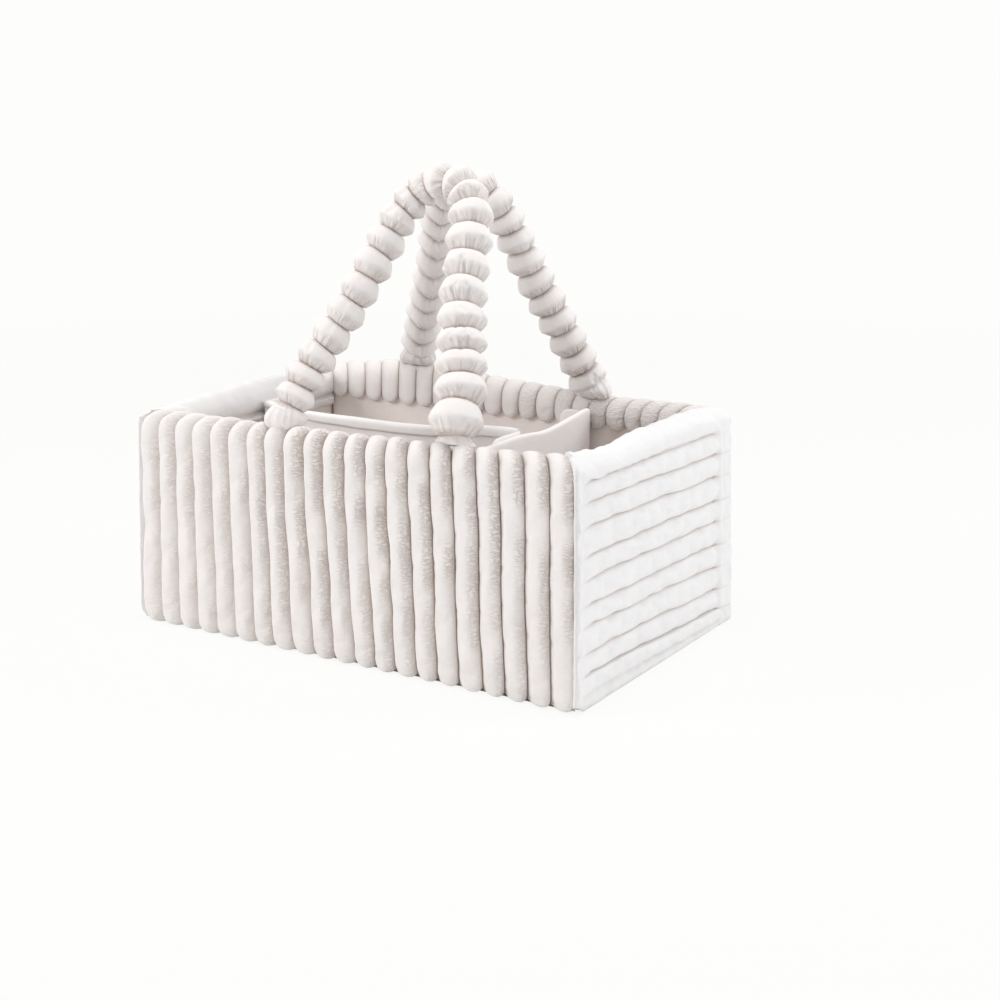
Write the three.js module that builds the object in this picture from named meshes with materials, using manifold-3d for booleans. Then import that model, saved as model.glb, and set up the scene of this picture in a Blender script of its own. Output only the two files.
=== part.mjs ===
// Open nappy caddy: four padded plush walls round a stiff base, a T of two dividers that makes
// three compartments, and two arched handles of plush gathered into beads.
// Millimetres. X runs along the long side, Y from front to back, Z up. The origin is the middle
// of the underside. Each wall is drawn in a frame of its own: x along the wall, y from its outer
// face inwards, z up.
import * as THREE from 'three';
import { mergeVertices } from 'three/addons/utils/BufferGeometryUtils.js';
import Module from 'manifold-3d';

const wasm = await Module();
wasm.setup();

// Overall size over the plush, how far each wall leans in at the rim, and the rim's rise and fall
const LENGTH = 400;
const DEPTH = 250;
const RIM_HEIGHT = 180;
const TAPER = 4.5;
const RIM_WAVE = 9;

// Layers of a wall, from outside to inside, and the seam left between two of them
const SEAM = 0.3;
const PLUSH = 9;
const WADDING = 4;
const BOARD = 3;
const LINING = 2;
const FACING = 5;

// Layers of the base, from below
const BASE_CLOTH = 1.2;
const BASE_BOARD = 3;
const BASE_FOAM = 4;
const BASE_LINING = 1;

// Plush covers
const LONG_WALES = 21;
const SIDE_WALES = 9;
const WALE_DEPTH = 5.5;
const SIDE_WALE_DEPTH = 3.6;
const WALE_LEAN = 10;
const WALE_TIP = 7;
const SCALLOP = 4;
const ROLL = 12;
const LONG_FACING_DROP = 32;
const SIDE_FACING_DROP = 39;
const SIDE_ROLL_HEIGHT = 20;
const SIDE_BAND_HEIGHT = 10;

// Corner bindings
const BINDING_WIDTH = 7;
const BINDING_INSET = 0.6;
const BINDING_DROP = 10;

// Handles
const FRONT_BEAD_AT_FOOT = 35;
const BACK_BEAD_AT_FOOT = 32;
const BEAD_AT_CROWN = 28;
const NECK = 22;
const CORE = 16;
const FRONT_BEADS = 24;
const BACK_BEADS = 23;
const FRONT_SPAN = 150;
const FRONT_RISE = 195;
const FRONT_LEAN = 29.5;
const FRONT_CENTRE = 15;
const FRONT_SWAY = 7;
const BACK_SPAN = 169;
const BACK_RISE = 172;
const BACK_LEAN = 23.5;
const BACK_CENTRE = 4;
const BACK_SWAY = -10;
const FOOT_LENGTH = 10;
const FOOT_WIDTH = 34;
const FOOT_DEPTH = 19;
const TAB_WIDTH = 26;
const TAB_THICKNESS = 2.5;

// Dividers
const DIVIDER_CLOTH = 1;
const DIVIDER_BOARD = 2.5;
const BOARD_MARGIN = 6;
const FLAP_THICKNESS = 2.5;
const FLAP_CORNER = 8;
const LONG_TOP = 157;
const LONG_RISE = 7;
const LONG_BOW = 8;
const LONG_FLAP = 40;
const HEM_THICKNESS = 0.8;
const HEM_HEIGHT = 7;
const CROSS_X = 86;
const CROSS_TOP = 161;
const CROSS_RISE = 6;
const CROSS_TAB = 24;
const PATCH_THICKNESS = 1.2;
const PATCH_WIDTH = 18;
const PATCH_HEIGHT = 14;
const PATCH_DROP = 4;

// Rim along each wall, in shares of RIM_WAVE, at equal steps along the wall's own x
const RIM_SHARES = {
  front: [-1, -0.85, -0.75, -0.45, 0],
  right: [0, -0.55, -0.28, -0.25, -0.6],
  back: [-0.6, -0.6, -0.05, 0.75, -0.5],
  left: [-0.5, -0.55, -0.4, -0.7, -1],
};

// Section of the roll over the rim: [share of the wall's thickness, share of the roll's height
// below the rim, inward direction of a valley]
const ROLL_SHARES = [
  [0, 1, 1, 0],
  [0.12, 0.33, 0.7, -0.7],
  [0.4, 0, 0, -1],
  [0.7, 0.08, 0, -1],
  [0.93, 0.58, -0.7, -0.7],
];

// Half of each arch from foot to crown: [share of half the span, share of the rise]
const ARCH_SHARES = {
  front: [
    [1, 0], [0.94, 0.15], [0.8, 0.32], [0.65, 0.5], [0.52, 0.7],
    [0.46, 0.8], [0.37, 0.9], [0.2, 0.98], [0, 1],
  ],
  back: [
    [1, 0], [0.895, 0.15], [0.74, 0.34], [0.583, 0.53], [0.425, 0.75],
    [0.35, 0.85], [0.25, 0.94], [0.13, 0.99], [0, 1],
  ],
};

// Columns across a wale, and rings along a bead as [share of its length, share of its swell]
const WALE_SHARES = [0, 1 / 3, 2 / 3];
const BEAD_SHARES = [[0, 0], [0.32, 1], [0.7, 0.95]];

// Top edge of the long divider: [share of its length, share of its bow, share of its rise]
const LONG_SHARES = [
  [0, 0, 0.5], [0.12, 0.38, 0.05], [0.25, 0.7, 0], [0.4, 0.95, 0.1],
  [0.55, 1, 0.12], [0.7, 0.82, 0.3], [0.85, 0.45, 0.85], [1, 0, 1],
];

// Top edge of the cross divider: [share of half its length, share of its rise]
const CROSS_SHARES = [
  [-1, 0.4], [-0.55, 0.37], [-0.1, 0.4], [0.25, -0.05], [0.5, 0.2], [0.73, 0.62], [1, 1],
];

const END_DIP_SHARE = 0.35;
const FACING_SEAM_SHARE = 0.45;
const TIP_SHARE = 0.3;
const HALF_SHARE = 0.5;

// Counts of steps
const SIDE_STEPS = 4;
const TUBE_SIDES = 10;
const CORNER_STEPS = 4;

// Depths of the layers behind the outer face of a wall
const waddingIn = PLUSH + SEAM;
const boardIn = waddingIn + WADDING + SEAM;
const liningIn = boardIn + BOARD + SEAM;
const facingIn = liningIn + LINING + SEAM;
const facingOut = facingIn + FACING;

// Heights of the base, and of the fold that the walls' inner layers end under
const boardFoot = BASE_CLOTH + SEAM;
const wallFoot = boardFoot + BASE_BOARD + SEAM;
const floorIn = wallFoot + BASE_FOAM + SEAM;
const dividerFoot = floorIn + BASE_LINING + SEAM;
const foldHeight = RIM_HEIGHT - RIM_WAVE - ROLL;
const layerTop = foldHeight - SEAM;

const degrees = THREE.MathUtils.degToRad;
const { lerp } = THREE.MathUtils;
const vector = (x, y, z) => new THREE.Vector3(x, y, z);

// The walls in order round the rim. turn brings a wall's frame to its place, and reach is how far
// its outer face stands from the middle.
const WALLS = {
  front: { span: LENGTH, reach: DEPTH / 2, turn: 0, isLong: true },
  right: { span: DEPTH, reach: LENGTH / 2, turn: 90, isLong: false },
  back: { span: LENGTH, reach: DEPTH / 2, turn: 180, isLong: true },
  left: { span: DEPTH, reach: LENGTH / 2, turn: 270, isLong: false },
};
Object.entries(WALLS).forEach(([name, wall]) => { wall.shares = RIM_SHARES[name]; });

// Height of a wall's rim at x, straight between the steps of its shares
function rimAt(wall, x) {
  const steps = wall.shares.length - 1;
  const place = THREE.MathUtils.clamp(x / wall.span + HALF_SHARE, 0, 1) * steps;
  const step = Math.min(Math.floor(place), steps - 1);
  return RIM_HEIGHT + RIM_WAVE * lerp(wall.shares[step], wall.shares[step + 1], place - step);
}

// A point of an upright wall, moved to the wall that leans in towards the rim
function leant(wall, x, depth, z) {
  const lean = TAPER * z / RIM_HEIGHT;
  return vector(x * (1 - 2 * lean / wall.span), depth + lean * (1 - depth / wall.reach), z);
}

// Triangles of a flat or nearly flat loop of points
function capTriangles(loop) {
  const normal = vector(0, 0, 0);
  loop.forEach((point, i) => {
    normal.add(vector(0, 0, 0).crossVectors(point, loop[(i + 1) % loop.length]));
  });
  const isLevel = Math.abs(normal.z) > Math.abs(normal.x) + Math.abs(normal.y);
  const up = isLevel ? vector(1, 0, 0) : vector(0, 0, 1);
  const across = vector(0, 0, 0).crossVectors(up, normal).normalize();
  const along = vector(0, 0, 0).crossVectors(normal, across).normalize();
  const flat = loop.map((point) => new THREE.Vector2(point.dot(across), point.dot(along)));
  return THREE.ShapeUtils.triangulateShape(flat, []);
}

// Turns the faces round where they enclose a negative volume
function facingOutwards(geometry) {
  const at = geometry.attributes.position;
  const index = Array.from(geometry.index.array);
  const corner = (i) => vector(0, 0, 0).fromBufferAttribute(at, index[i]);
  let volume = 0;
  for (let i = 0; i < index.length; i += 3) {
    volume += corner(i).dot(corner(i + 1).cross(corner(i + 2)));
  }
  if (volume < 0) geometry.setIndex(index.reverse());
  return geometry;
}

// A closed skin through rings of as many points each. Its ends are capped, unless the last ring
// joins the first as in a sleeve.
function loft(rings, joinsEnds = false) {
  const size = rings[0].length;
  const index = [];
  const bands = joinsEnds ? rings.length : rings.length - 1;
  for (let band = 0; band < bands; band += 1) {
    const here = band * size;
    const next = ((band + 1) % rings.length) * size;
    for (let i = 0; i < size; i += 1) {
      const j = (i + 1) % size;
      index.push(here + i, here + j, next + j, here + i, next + j, next + i);
    }
  }
  if (!joinsEnds) {
    const end = (rings.length - 1) * size;
    capTriangles(rings[0]).forEach(([a, b, c]) => index.push(c, b, a));
    capTriangles(rings.at(-1)).forEach(([a, b, c]) => index.push(end + a, end + b, end + c));
  }
  const positions = rings.flat().flatMap((point) => point.toArray());
  const geometry = new THREE.BufferGeometry();
  geometry.setAttribute('position', new THREE.Float32BufferAttribute(positions, 3));
  geometry.setIndex(index);
  return facingOutwards(geometry);
}

// A block between two places on each axis
function block([left, right], [front, back], heights) {
  const corners = [[left, front], [right, front], [right, back], [left, back]];
  return loft(heights.map((z) => corners.map(([x, y]) => vector(x, y, z))));
}

function solid(geometry) {
  const bare = geometry.clone();
  bare.deleteAttribute('normal');
  bare.deleteAttribute('uv');
  const merged = mergeVertices(bare);
  return new wasm.Manifold(new wasm.Mesh({
    numProp: 3,
    vertProperties: merged.attributes.position.array,
    triVerts: merged.index.array,
  }));
}

function geometryOf(manifold) {
  const mesh = manifold.getMesh();
  const geometry = new THREE.BufferGeometry();
  geometry.setAttribute('position', new THREE.Float32BufferAttribute(mesh.vertProperties, 3));
  geometry.setIndex(Array.from(mesh.triVerts));
  return geometry;
}

const FINISHES = {
  plush: { color: 0xf1eeec, roughness: 0.95, metalness: 0 },
  lining: { color: 0xdfcfc6, roughness: 0.8, metalness: 0 },
  divider: { color: 0xece4e0, roughness: 0.8, metalness: 0 },
  hem: { color: 0xfaf8f5, roughness: 0.7, metalness: 0 },
  board: { color: 0xb9a88f, roughness: 0.9, metalness: 0 },
  foam: { color: 0xf4f2ea, roughness: 1, metalness: 0 },
  tape: { color: 0xe6e0da, roughness: 0.6, metalness: 0 },
};

const caddy = new THREE.Group();

function place(group, name, geometry, finish) {
  const mesh = new THREE.Mesh(geometry, new THREE.MeshStandardMaterial(FINISHES[finish]));
  mesh.name = name;
  group.add(mesh);
}

// The group that turns a wall's frame to its place, with the wall's upright outer face at y = 0
function wallFrame(wall) {
  const turned = new THREE.Group();
  turned.rotation.z = degrees(wall.turn);
  const frame = new THREE.Group();
  frame.position.y = -wall.reach;
  turned.add(frame);
  caddy.add(turned);
  return frame;
}

// How far a wale's surface lies below its crest at a share of its width
function waleDip(share, depth) {
  return depth * (1 - Math.sqrt(1 - (2 * share - 1) ** 2));
}

// Points over the rim from the outer face to the facing, sunk towards a valley
function rollSection(rim, dip) {
  return ROLL_SHARES.map(([across, down, inwards, upwards]) => [
    across * facingOut + inwards * dip,
    rim - down * ROLL + upwards * dip,
  ]);
}

// Section of a front or back cover at one place along it, as [depth, height] points
function uprightSection(rim, dip) {
  const lift = (dip / WALE_DEPTH) * SCALLOP;
  const facingFoot = RIM_HEIGHT - LONG_FACING_DROP;
  return [
    [PLUSH * TIP_SHARE, lift],
    [dip, WALE_TIP],
    [dip, rim * HALF_SHARE],
    ...rollSection(rim, dip),
    [facingOut - dip * HALF_SHARE, facingFoot + WALE_TIP],
    [facingIn + FACING * HALF_SHARE, facingFoot + lift],
    [facingIn, facingFoot + SCALLOP],
    [facingIn, foldHeight],
    [PLUSH, foldHeight],
    [PLUSH, SCALLOP],
  ];
}

// Cover with upright wales, which lean a little to the wall's left half way along it. Its ends are
// mitred behind the corner bindings.
function uprightCover(wall) {
  const columns = [];
  for (let wale = 0; wale < LONG_WALES; wale += 1) {
    WALE_SHARES.forEach((share) => {
      columns.push([(wale + share) / LONG_WALES, waleDip(share, WALE_DEPTH)]);
    });
  }
  columns[0][1] *= END_DIP_SHARE;
  columns.push([1, WALE_DEPTH * END_DIP_SHARE]);
  return loft(columns.map(([along, dip]) => {
    const side = 2 * along - 1;
    const shift = -WALE_LEAN * Math.sin(Math.PI * along);
    const rim = rimAt(wall, side * (wall.span / 2 - BINDING_WIDTH) + shift);
    return uprightSection(rim, dip).map(([depth, height]) => {
      const reach = wall.span / 2 - Math.max(BINDING_WIDTH, depth) - SEAM;
      return leant(wall, side * reach + shift * height / rim, depth, height);
    });
  }));
}

// Section of a side cover, with its wales one above the other
function levelSection(rim) {
  const pitch = (rim - SIDE_ROLL_HEIGHT - SIDE_BAND_HEIGHT) / SIDE_WALES;
  const wales = [];
  for (let wale = 0; wale < SIDE_WALES; wale += 1) {
    WALE_SHARES.forEach((share) => {
      wales.push([waleDip(share, SIDE_WALE_DEPTH), SIDE_BAND_HEIGHT + (wale + share) * pitch]);
    });
  }
  const facingFoot = RIM_HEIGHT - SIDE_FACING_DROP;
  const seam = lerp(facingFoot, rim - ROLL, FACING_SEAM_SHARE);
  return [
    [PLUSH * TIP_SHARE, 0],
    [SIDE_WALE_DEPTH * HALF_SHARE, SIDE_BAND_HEIGHT * TIP_SHARE],
    ...wales,
    [SIDE_WALE_DEPTH, rim - SIDE_ROLL_HEIGHT],
    ...rollSection(rim, 0),
    [facingOut, rim - ROLL],
    [facingOut - SIDE_WALE_DEPTH * HALF_SHARE, seam],
    [facingOut, seam - SCALLOP],
    [facingOut, facingFoot + SCALLOP],
    [facingIn + FACING * HALF_SHARE, facingFoot],
    [facingIn, facingFoot + SCALLOP],
    [facingIn, foldHeight],
    [PLUSH, foldHeight],
    [PLUSH, 0],
  ];
}

function levelCover(wall) {
  const rings = [];
  for (let step = 0; step <= SIDE_STEPS; step += 1) {
    const side = 2 * step / SIDE_STEPS - 1;
    rings.push(levelSection(rimAt(wall, side * wall.span / 2)).map(([depth, height]) => {
      const reach = wall.span / 2 - Math.max(PLUSH, depth) - SEAM;
      return leant(wall, side * reach, depth, height);
    }));
  }
  return loft(rings);
}

// A flat layer of a wall, from its foot to just under the fold of the cover
function layer(wall, depth, thickness, inset) {
  const reach = wall.span / 2 - inset;
  const section = [
    [depth, wallFoot], [depth + thickness, wallFoot],
    [depth + thickness, layerTop], [depth, layerTop],
  ];
  return loft([-reach, reach].map((x) => section.map(([y, z]) => leant(wall, x, y, z))));
}

// Upright binding that fills a corner, at one end of a long wall
function cornerBinding(wall, side) {
  const half = wall.span / 2;
  const section = [
    [half - BINDING_INSET, 2 * BINDING_INSET],
    [half - BINDING_WIDTH + BINDING_INSET, 2 * BINDING_INSET],
    [half - BINDING_WIDTH + BINDING_INSET, BINDING_WIDTH - 2 * BINDING_INSET],
    [half - PLUSH + BINDING_INSET, PLUSH],
    [half - BINDING_INSET, PLUSH],
  ];
  const top = rimAt(wall, side * half) - BINDING_DROP;
  return loft([0, top].map((z) => section.map(([x, y]) => leant(wall, side * x, y, z))));
}

function buildWall(name, frame) {
  const wall = WALLS[name];
  const cover = wall.isLong ? uprightCover(wall) : levelCover(wall);
  place(frame, `${name}_plush_cover`, cover, 'plush');
  const layers = [
    ['wadding', waddingIn, WADDING, 'foam'],
    ['board', boardIn, BOARD, 'board'],
    ['lining', liningIn, LINING, 'lining'],
  ];
  layers.forEach(([part, depth, thickness, finish]) => {
    const inset = wall.isLong ? depth : depth + thickness + SEAM;
    place(frame, `${name}_${part}`, layer(wall, depth, thickness, inset), finish);
  });
}

const frames = {};
Object.keys(WALLS).forEach((name) => {
  frames[name] = wallFrame(WALLS[name]);
  buildWall(name, frames[name]);
});
place(frames.front, 'front_left_corner_binding', cornerBinding(WALLS.front, -1), 'plush');
place(frames.front, 'front_right_corner_binding', cornerBinding(WALLS.front, 1), 'plush');
place(frames.back, 'back_right_corner_binding', cornerBinding(WALLS.back, -1), 'plush');
place(frames.back, 'back_left_corner_binding', cornerBinding(WALLS.back, 1), 'plush');

// A layer of the base, inset all round
function baseLayer(foot, thickness, inset) {
  const [x, y] = [LENGTH / 2 - inset, DEPTH / 2 - inset];
  return block([-x, x], [-y, y], [foot, foot + thickness]);
}

place(caddy, 'base_cloth', baseLayer(0, BASE_CLOTH, waddingIn), 'plush');
place(caddy, 'base_board', baseLayer(boardFoot, BASE_BOARD, waddingIn + SEAM), 'board');
place(caddy, 'base_foam', baseLayer(wallFoot, BASE_FOAM, facingIn + SEAM), 'foam');
place(caddy, 'base_lining', baseLayer(floorIn, BASE_LINING, facingIn + SEAM), 'lining');

// Handles, each on its own wall. An arch lies in a plane through its two feet that leans inwards.
const HANDLES = {
  front: {
    span: FRONT_SPAN, rise: FRONT_RISE, lean: FRONT_LEAN, centre: FRONT_CENTRE, sway: FRONT_SWAY,
    beads: FRONT_BEADS, beadAtFoot: FRONT_BEAD_AT_FOOT, shares: ARCH_SHARES.front,
  },
  back: {
    span: BACK_SPAN, rise: BACK_RISE, lean: BACK_LEAN, centre: BACK_CENTRE, sway: BACK_SWAY,
    beads: BACK_BEADS, beadAtFoot: BACK_BEAD_AT_FOOT, shares: ARCH_SHARES.back,
  },
};
const footSeat = facingOut * HALF_SHARE + 2 * SEAM;

// Place of a foot's flat sole, just clear of its tab: side is -1 for the left foot, 1 for the right
function solePlace(wall, handle, side) {
  const x = handle.centre + side * handle.span / 2;
  const edges = [-1, 0, 1].map((edge) => rimAt(wall, x + edge * TAB_WIDTH / 2));
  const height = Math.max(...edges) + TAB_THICKNESS + 2 * SEAM;
  return vector(x, leant(wall, x, footSeat, RIM_HEIGHT).y, height);
}

function archCurve(wall, handle) {
  const tilt = degrees(handle.lean);
  const soles = [-1, 1].map((side) => solePlace(wall, handle, side));
  const point = (side, [out, up]) => {
    const share = (side * out + 1) * HALF_SHARE;
    const base = soles[0].clone().lerp(soles[1], share);
    const rise = up * handle.rise;
    return base.add(vector(handle.sway * up, rise * Math.sin(tilt), rise * Math.cos(tilt)));
  };
  const left = handle.shares.map((share) => point(-1, share));
  const right = handle.shares.slice(0, -1).reverse().map((share) => point(1, share));
  return new THREE.CatmullRomCurve3([...left, ...right], false, 'centripetal');
}

// A ring round the arch and square to it, at a share of its length
function archRing(curve, handle, share, radius) {
  const tilt = degrees(handle.lean);
  const normal = vector(0, Math.cos(tilt), -Math.sin(tilt));
  const across = vector(0, 0, 0).crossVectors(curve.getTangentAt(share), normal).normalize();
  const middle = curve.getPointAt(share);
  const ring = [];
  for (let side = 0; side < TUBE_SIDES; side += 1) {
    const angle = 2 * Math.PI * side / TUBE_SIDES;
    ring.push(middle.clone()
      .addScaledVector(across, radius * Math.cos(angle))
      .addScaledVector(normal, radius * Math.sin(angle)));
  }
  return ring;
}

// Rings at the necks between the beads, from foot to foot
function neckRings(curve, handle, radius) {
  const start = FOOT_LENGTH / curve.getLength();
  const rings = [];
  for (let neck = 0; neck <= handle.beads; neck += 1) {
    rings.push(archRing(curve, handle, lerp(start, 1 - start, neck / handle.beads), radius));
  }
  return rings;
}

function sleeve(curve, handle) {
  const start = FOOT_LENGTH / curve.getLength();
  const outside = [];
  for (let bead = 0; bead < handle.beads; bead += 1) {
    BEAD_SHARES.forEach(([along, swell]) => {
      const place = (bead + along) / handle.beads;
      const crest = lerp(BEAD_AT_CROWN, handle.beadAtFoot, Math.abs(2 * place - 1));
      const radius = lerp(NECK, crest, swell) / 2;
      outside.push(archRing(curve, handle, lerp(start, 1 - start, place), radius));
    });
  }
  outside.push(archRing(curve, handle, 1 - start, NECK / 2));
  const bore = neckRings(curve, handle, CORE / 2 + SEAM);
  return loft([...outside, ...bore.reverse()], true);
}

// Gathered foot, from a flat oval sole to the round end of the sleeve
function foot(curve, handle, sole, atEnd) {
  const gap = (FOOT_LENGTH - SEAM) / curve.getLength();
  const top = archRing(curve, handle, atEnd ? 1 - gap : gap, NECK / 2);
  const middle = top.reduce((sum, point) => sum.add(point), vector(0, 0, 0)).divideScalar(top.length);
  const oval = top.map((point) => {
    const out = new THREE.Vector2(point.x - middle.x, point.y - middle.y).normalize();
    return vector(sole.x + out.x * FOOT_WIDTH / 2, sole.y + out.y * FOOT_DEPTH / 2, sole.z);
  });
  return loft([oval, top]);
}

// Tab sewn flat over the roll of the rim, under a foot
function tab(wall, x) {
  const ends = [x - TAB_WIDTH / 2, x + TAB_WIDTH / 2];
  return loft(ends.map((at) => {
    const rim = rimAt(wall, at);
    const under = rollSection(rim, -SEAM).slice(2);
    const upper = rollSection(rim, -SEAM - TAB_THICKNESS).slice(2).reverse();
    return [...under, ...upper].map(([depth, height]) => leant(wall, at, depth, height));
  }));
}

function buildHandle(name, ends) {
  const handle = HANDLES[name];
  const wall = WALLS[name];
  const frame = frames[name];
  const curve = archCurve(wall, handle);
  place(frame, `${name}_handle_sleeve`, sleeve(curve, handle), 'plush');
  place(frame, `${name}_handle_core`, loft(neckRings(curve, handle, CORE / 2)), 'foam');
  ends.forEach((end, atEnd) => {
    const sole = solePlace(wall, handle, 2 * atEnd - 1);
    place(frame, `${name}_${end}_handle_foot`, foot(curve, handle, sole, atEnd), 'plush');
    place(frame, `${name}_${end}_handle_tab`, tab(wall, sole.x), 'plush');
  });
}

buildHandle('front', ['left', 'right']);
buildHandle('back', ['right', 'left']);

// Dividers. Half the thickness of a board, of the pocket that it slides into and of the panel.
const boardHalf = DIVIDER_BOARD / 2;
const pocketHalf = boardHalf + SEAM;
const panelHalf = pocketHalf + DIVIDER_CLOTH;

// Faces of the facings at the mouth, where the dividers' ends are held by patches
const mouthX = leant(WALLS.left, 0, facingOut, RIM_HEIGHT).y - LENGTH / 2;
const mouthY = DEPTH / 2 - leant(WALLS.front, 0, facingOut, RIM_HEIGHT).y;
const patchRoom = PATCH_THICKNESS + 2 * SEAM;
const longLeft = mouthX + patchRoom;
const crossFace = CROSS_X - panelHalf;
const longRight = crossFace - patchRoom - PATCH_THICKNESS - SEAM;
const crossEnd = mouthY - patchRoom;

// A divider's run as places [along, middle, top], both drawn along X. The cross divider is turned
// to lie along Y afterwards.
const longRun = LONG_SHARES.map(([along, bow, rise]) => [
  lerp(longLeft, longRight, along), -bow * LONG_BOW, LONG_TOP + rise * LONG_RISE,
]);
const crossRun = CROSS_SHARES.map(([out, rise]) => [out * crossEnd, 0, CROSS_TOP + rise * CROSS_RISE]);

// The run's places between two ends that stand back from its own by a margin
function trimmed(run, margin) {
  const [first, last] = [run[0][0] + margin, run.at(-1)[0] - margin];
  const at = (x) => {
    const next = Math.max(run.findIndex(([along]) => along >= x), 1);
    const [a, b] = [run[next - 1], run[next]];
    const share = (x - a[0]) / (b[0] - a[0]);
    return [x, lerp(a[1], b[1], share), lerp(a[2], b[2], share)];
  };
  return [at(first), ...run.filter(([along]) => along > first && along < last), at(last)];
}

// A panel along a run: half its thickness, its foot, and how far its top lies below the run's
function slab(run, half, bottom, drop) {
  return loft(run.map(([along, middle, top]) => [
    vector(along, middle - half, bottom), vector(along, middle + half, bottom),
    vector(along, middle + half, top - drop), vector(along, middle - half, top - drop),
  ]));
}

// A flap folded square from the end of a panel. It stands at x, runs along Y from the fold to its
// free end, whose upper corner is round, and its thickness runs towards +X.
function flap(x, fold, free, top) {
  const shape = new THREE.Shape();
  const side = Math.sign(free - fold);
  shape.moveTo(fold, dividerFoot);
  shape.lineTo(free, dividerFoot);
  const start = side > 0 ? 0 : Math.PI;
  shape.absarc(free - side * FLAP_CORNER, top - FLAP_CORNER, FLAP_CORNER, start, Math.PI / 2, side < 0);
  shape.lineTo(fold, top);
  shape.closePath();
  const settings = { depth: FLAP_THICKNESS, bevelEnabled: false, curveSegments: CORNER_STEPS };
  const standing = new THREE.ExtrudeGeometry(shape, settings).rotateX(Math.PI / 2).rotateZ(Math.PI / 2);
  return standing.translate(x, 0, 0);
}

// Cloth of a divider: a panel and its two flaps, less the pocket for the board, open below
function dividerCover(run, flaps) {
  const panel = solid(slab(run, panelHalf, dividerFoot, 0));
  const cloth = flaps.reduce((sum, piece) => sum.add(solid(piece)), panel);
  const pocket = slab(trimmed(run, BOARD_MARGIN - SEAM), pocketHalf, floorIn, DIVIDER_CLOTH);
  return geometryOf(cloth.subtract(solid(pocket)));
}

function dividerBoard(run) {
  return slab(trimmed(run, BOARD_MARGIN), boardHalf, dividerFoot, DIVIDER_CLOTH + SEAM);
}

// Binding folded over the top edge of a divider, between its flaps
function hem(run) {
  const inner = panelHalf + SEAM;
  const outer = inner + HEM_THICKNESS;
  return loft(trimmed(run, FLAP_THICKNESS + SEAM).map(([along, middle, top]) => {
    const [bottom, under, over] = [top - HEM_HEIGHT, top + SEAM, top + SEAM + HEM_THICKNESS];
    const section = [
      [-outer, bottom], [-inner, bottom], [-inner, under], [inner, under],
      [inner, bottom], [outer, bottom], [outer, over], [-outer, over],
    ];
    return section.map(([off, z]) => vector(along, middle + off, z));
  }));
}

// A patch of hook or loop tape, from x towards +X and from y towards +Y
function patch(x, y, top) {
  const high = top - PATCH_DROP;
  return block([x, x + PATCH_THICKNESS], [y, y + PATCH_WIDTH], [high - PATCH_HEIGHT, high]);
}

const longTopLeft = longRun[0][2];
const longTopRight = longRun.at(-1)[2];
const longFlaps = [
  flap(longLeft, -panelHalf, LONG_FLAP, longTopLeft),
  flap(longRight - FLAP_THICKNESS, panelHalf, -LONG_FLAP, longTopRight),
];
const gripStart = panelHalf + FLAP_CORNER;
place(caddy, 'long_divider_cover', dividerCover(longRun, longFlaps), 'divider');
place(caddy, 'long_divider_board', dividerBoard(longRun), 'board');
place(caddy, 'long_divider_hem', hem(longRun), 'hem');
place(caddy, 'left_flap_hook_patch', patch(mouthX + SEAM, gripStart, longTopLeft), 'tape');
const rightPatch = -gripStart - PATCH_WIDTH;
place(caddy, 'right_flap_hook_patch', patch(longRight + SEAM, rightPatch, longTopRight), 'tape');
const loopPatch = patch(crossFace - SEAM - PATCH_THICKNESS, rightPatch, longTopRight);
place(caddy, 'cross_divider_loop_patch', loopPatch, 'tape');

const cross = new THREE.Group();
cross.position.x = CROSS_X;
cross.rotation.z = degrees(90);
caddy.add(cross);
const tabTops = [crossRun[0][2], crossRun.at(-1)[2] - HEM_HEIGHT * HALF_SHARE];
const crossTabs = [
  flap(-crossEnd, -panelHalf, panelHalf + CROSS_TAB, tabTops[0]),
  flap(crossEnd - FLAP_THICKNESS, -panelHalf, panelHalf + CROSS_TAB, tabTops[1]),
];
place(cross, 'cross_divider_cover', dividerCover(crossRun, crossTabs), 'divider');
place(cross, 'cross_divider_board', dividerBoard(crossRun), 'board');
place(cross, 'front_tab_hook_patch', patch(-mouthY + SEAM, panelHalf, tabTops[0]), 'tape');
place(cross, 'back_tab_hook_patch', patch(crossEnd + SEAM, panelHalf, tabTops[1]), 'tape');

export default caddy;
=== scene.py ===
# %% [markdown]
# An open nappy caddy: four padded plush walls, a T of two dividers, and two arched handles of plush
# gathered into beads. The solids of the same object are loaded first as a fixed frame. Each soft
# solid is then stood for by a detailed piece in the same place, so the two models never differ in
# size.

# %% The solids, and the box that they fill
from bisect import bisect_right
from math import copysign, cos, exp, hypot, pi, radians, sin, sqrt

import bmesh
import bpy
from mathutils import Euler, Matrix, Vector, kdtree, noise


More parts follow.
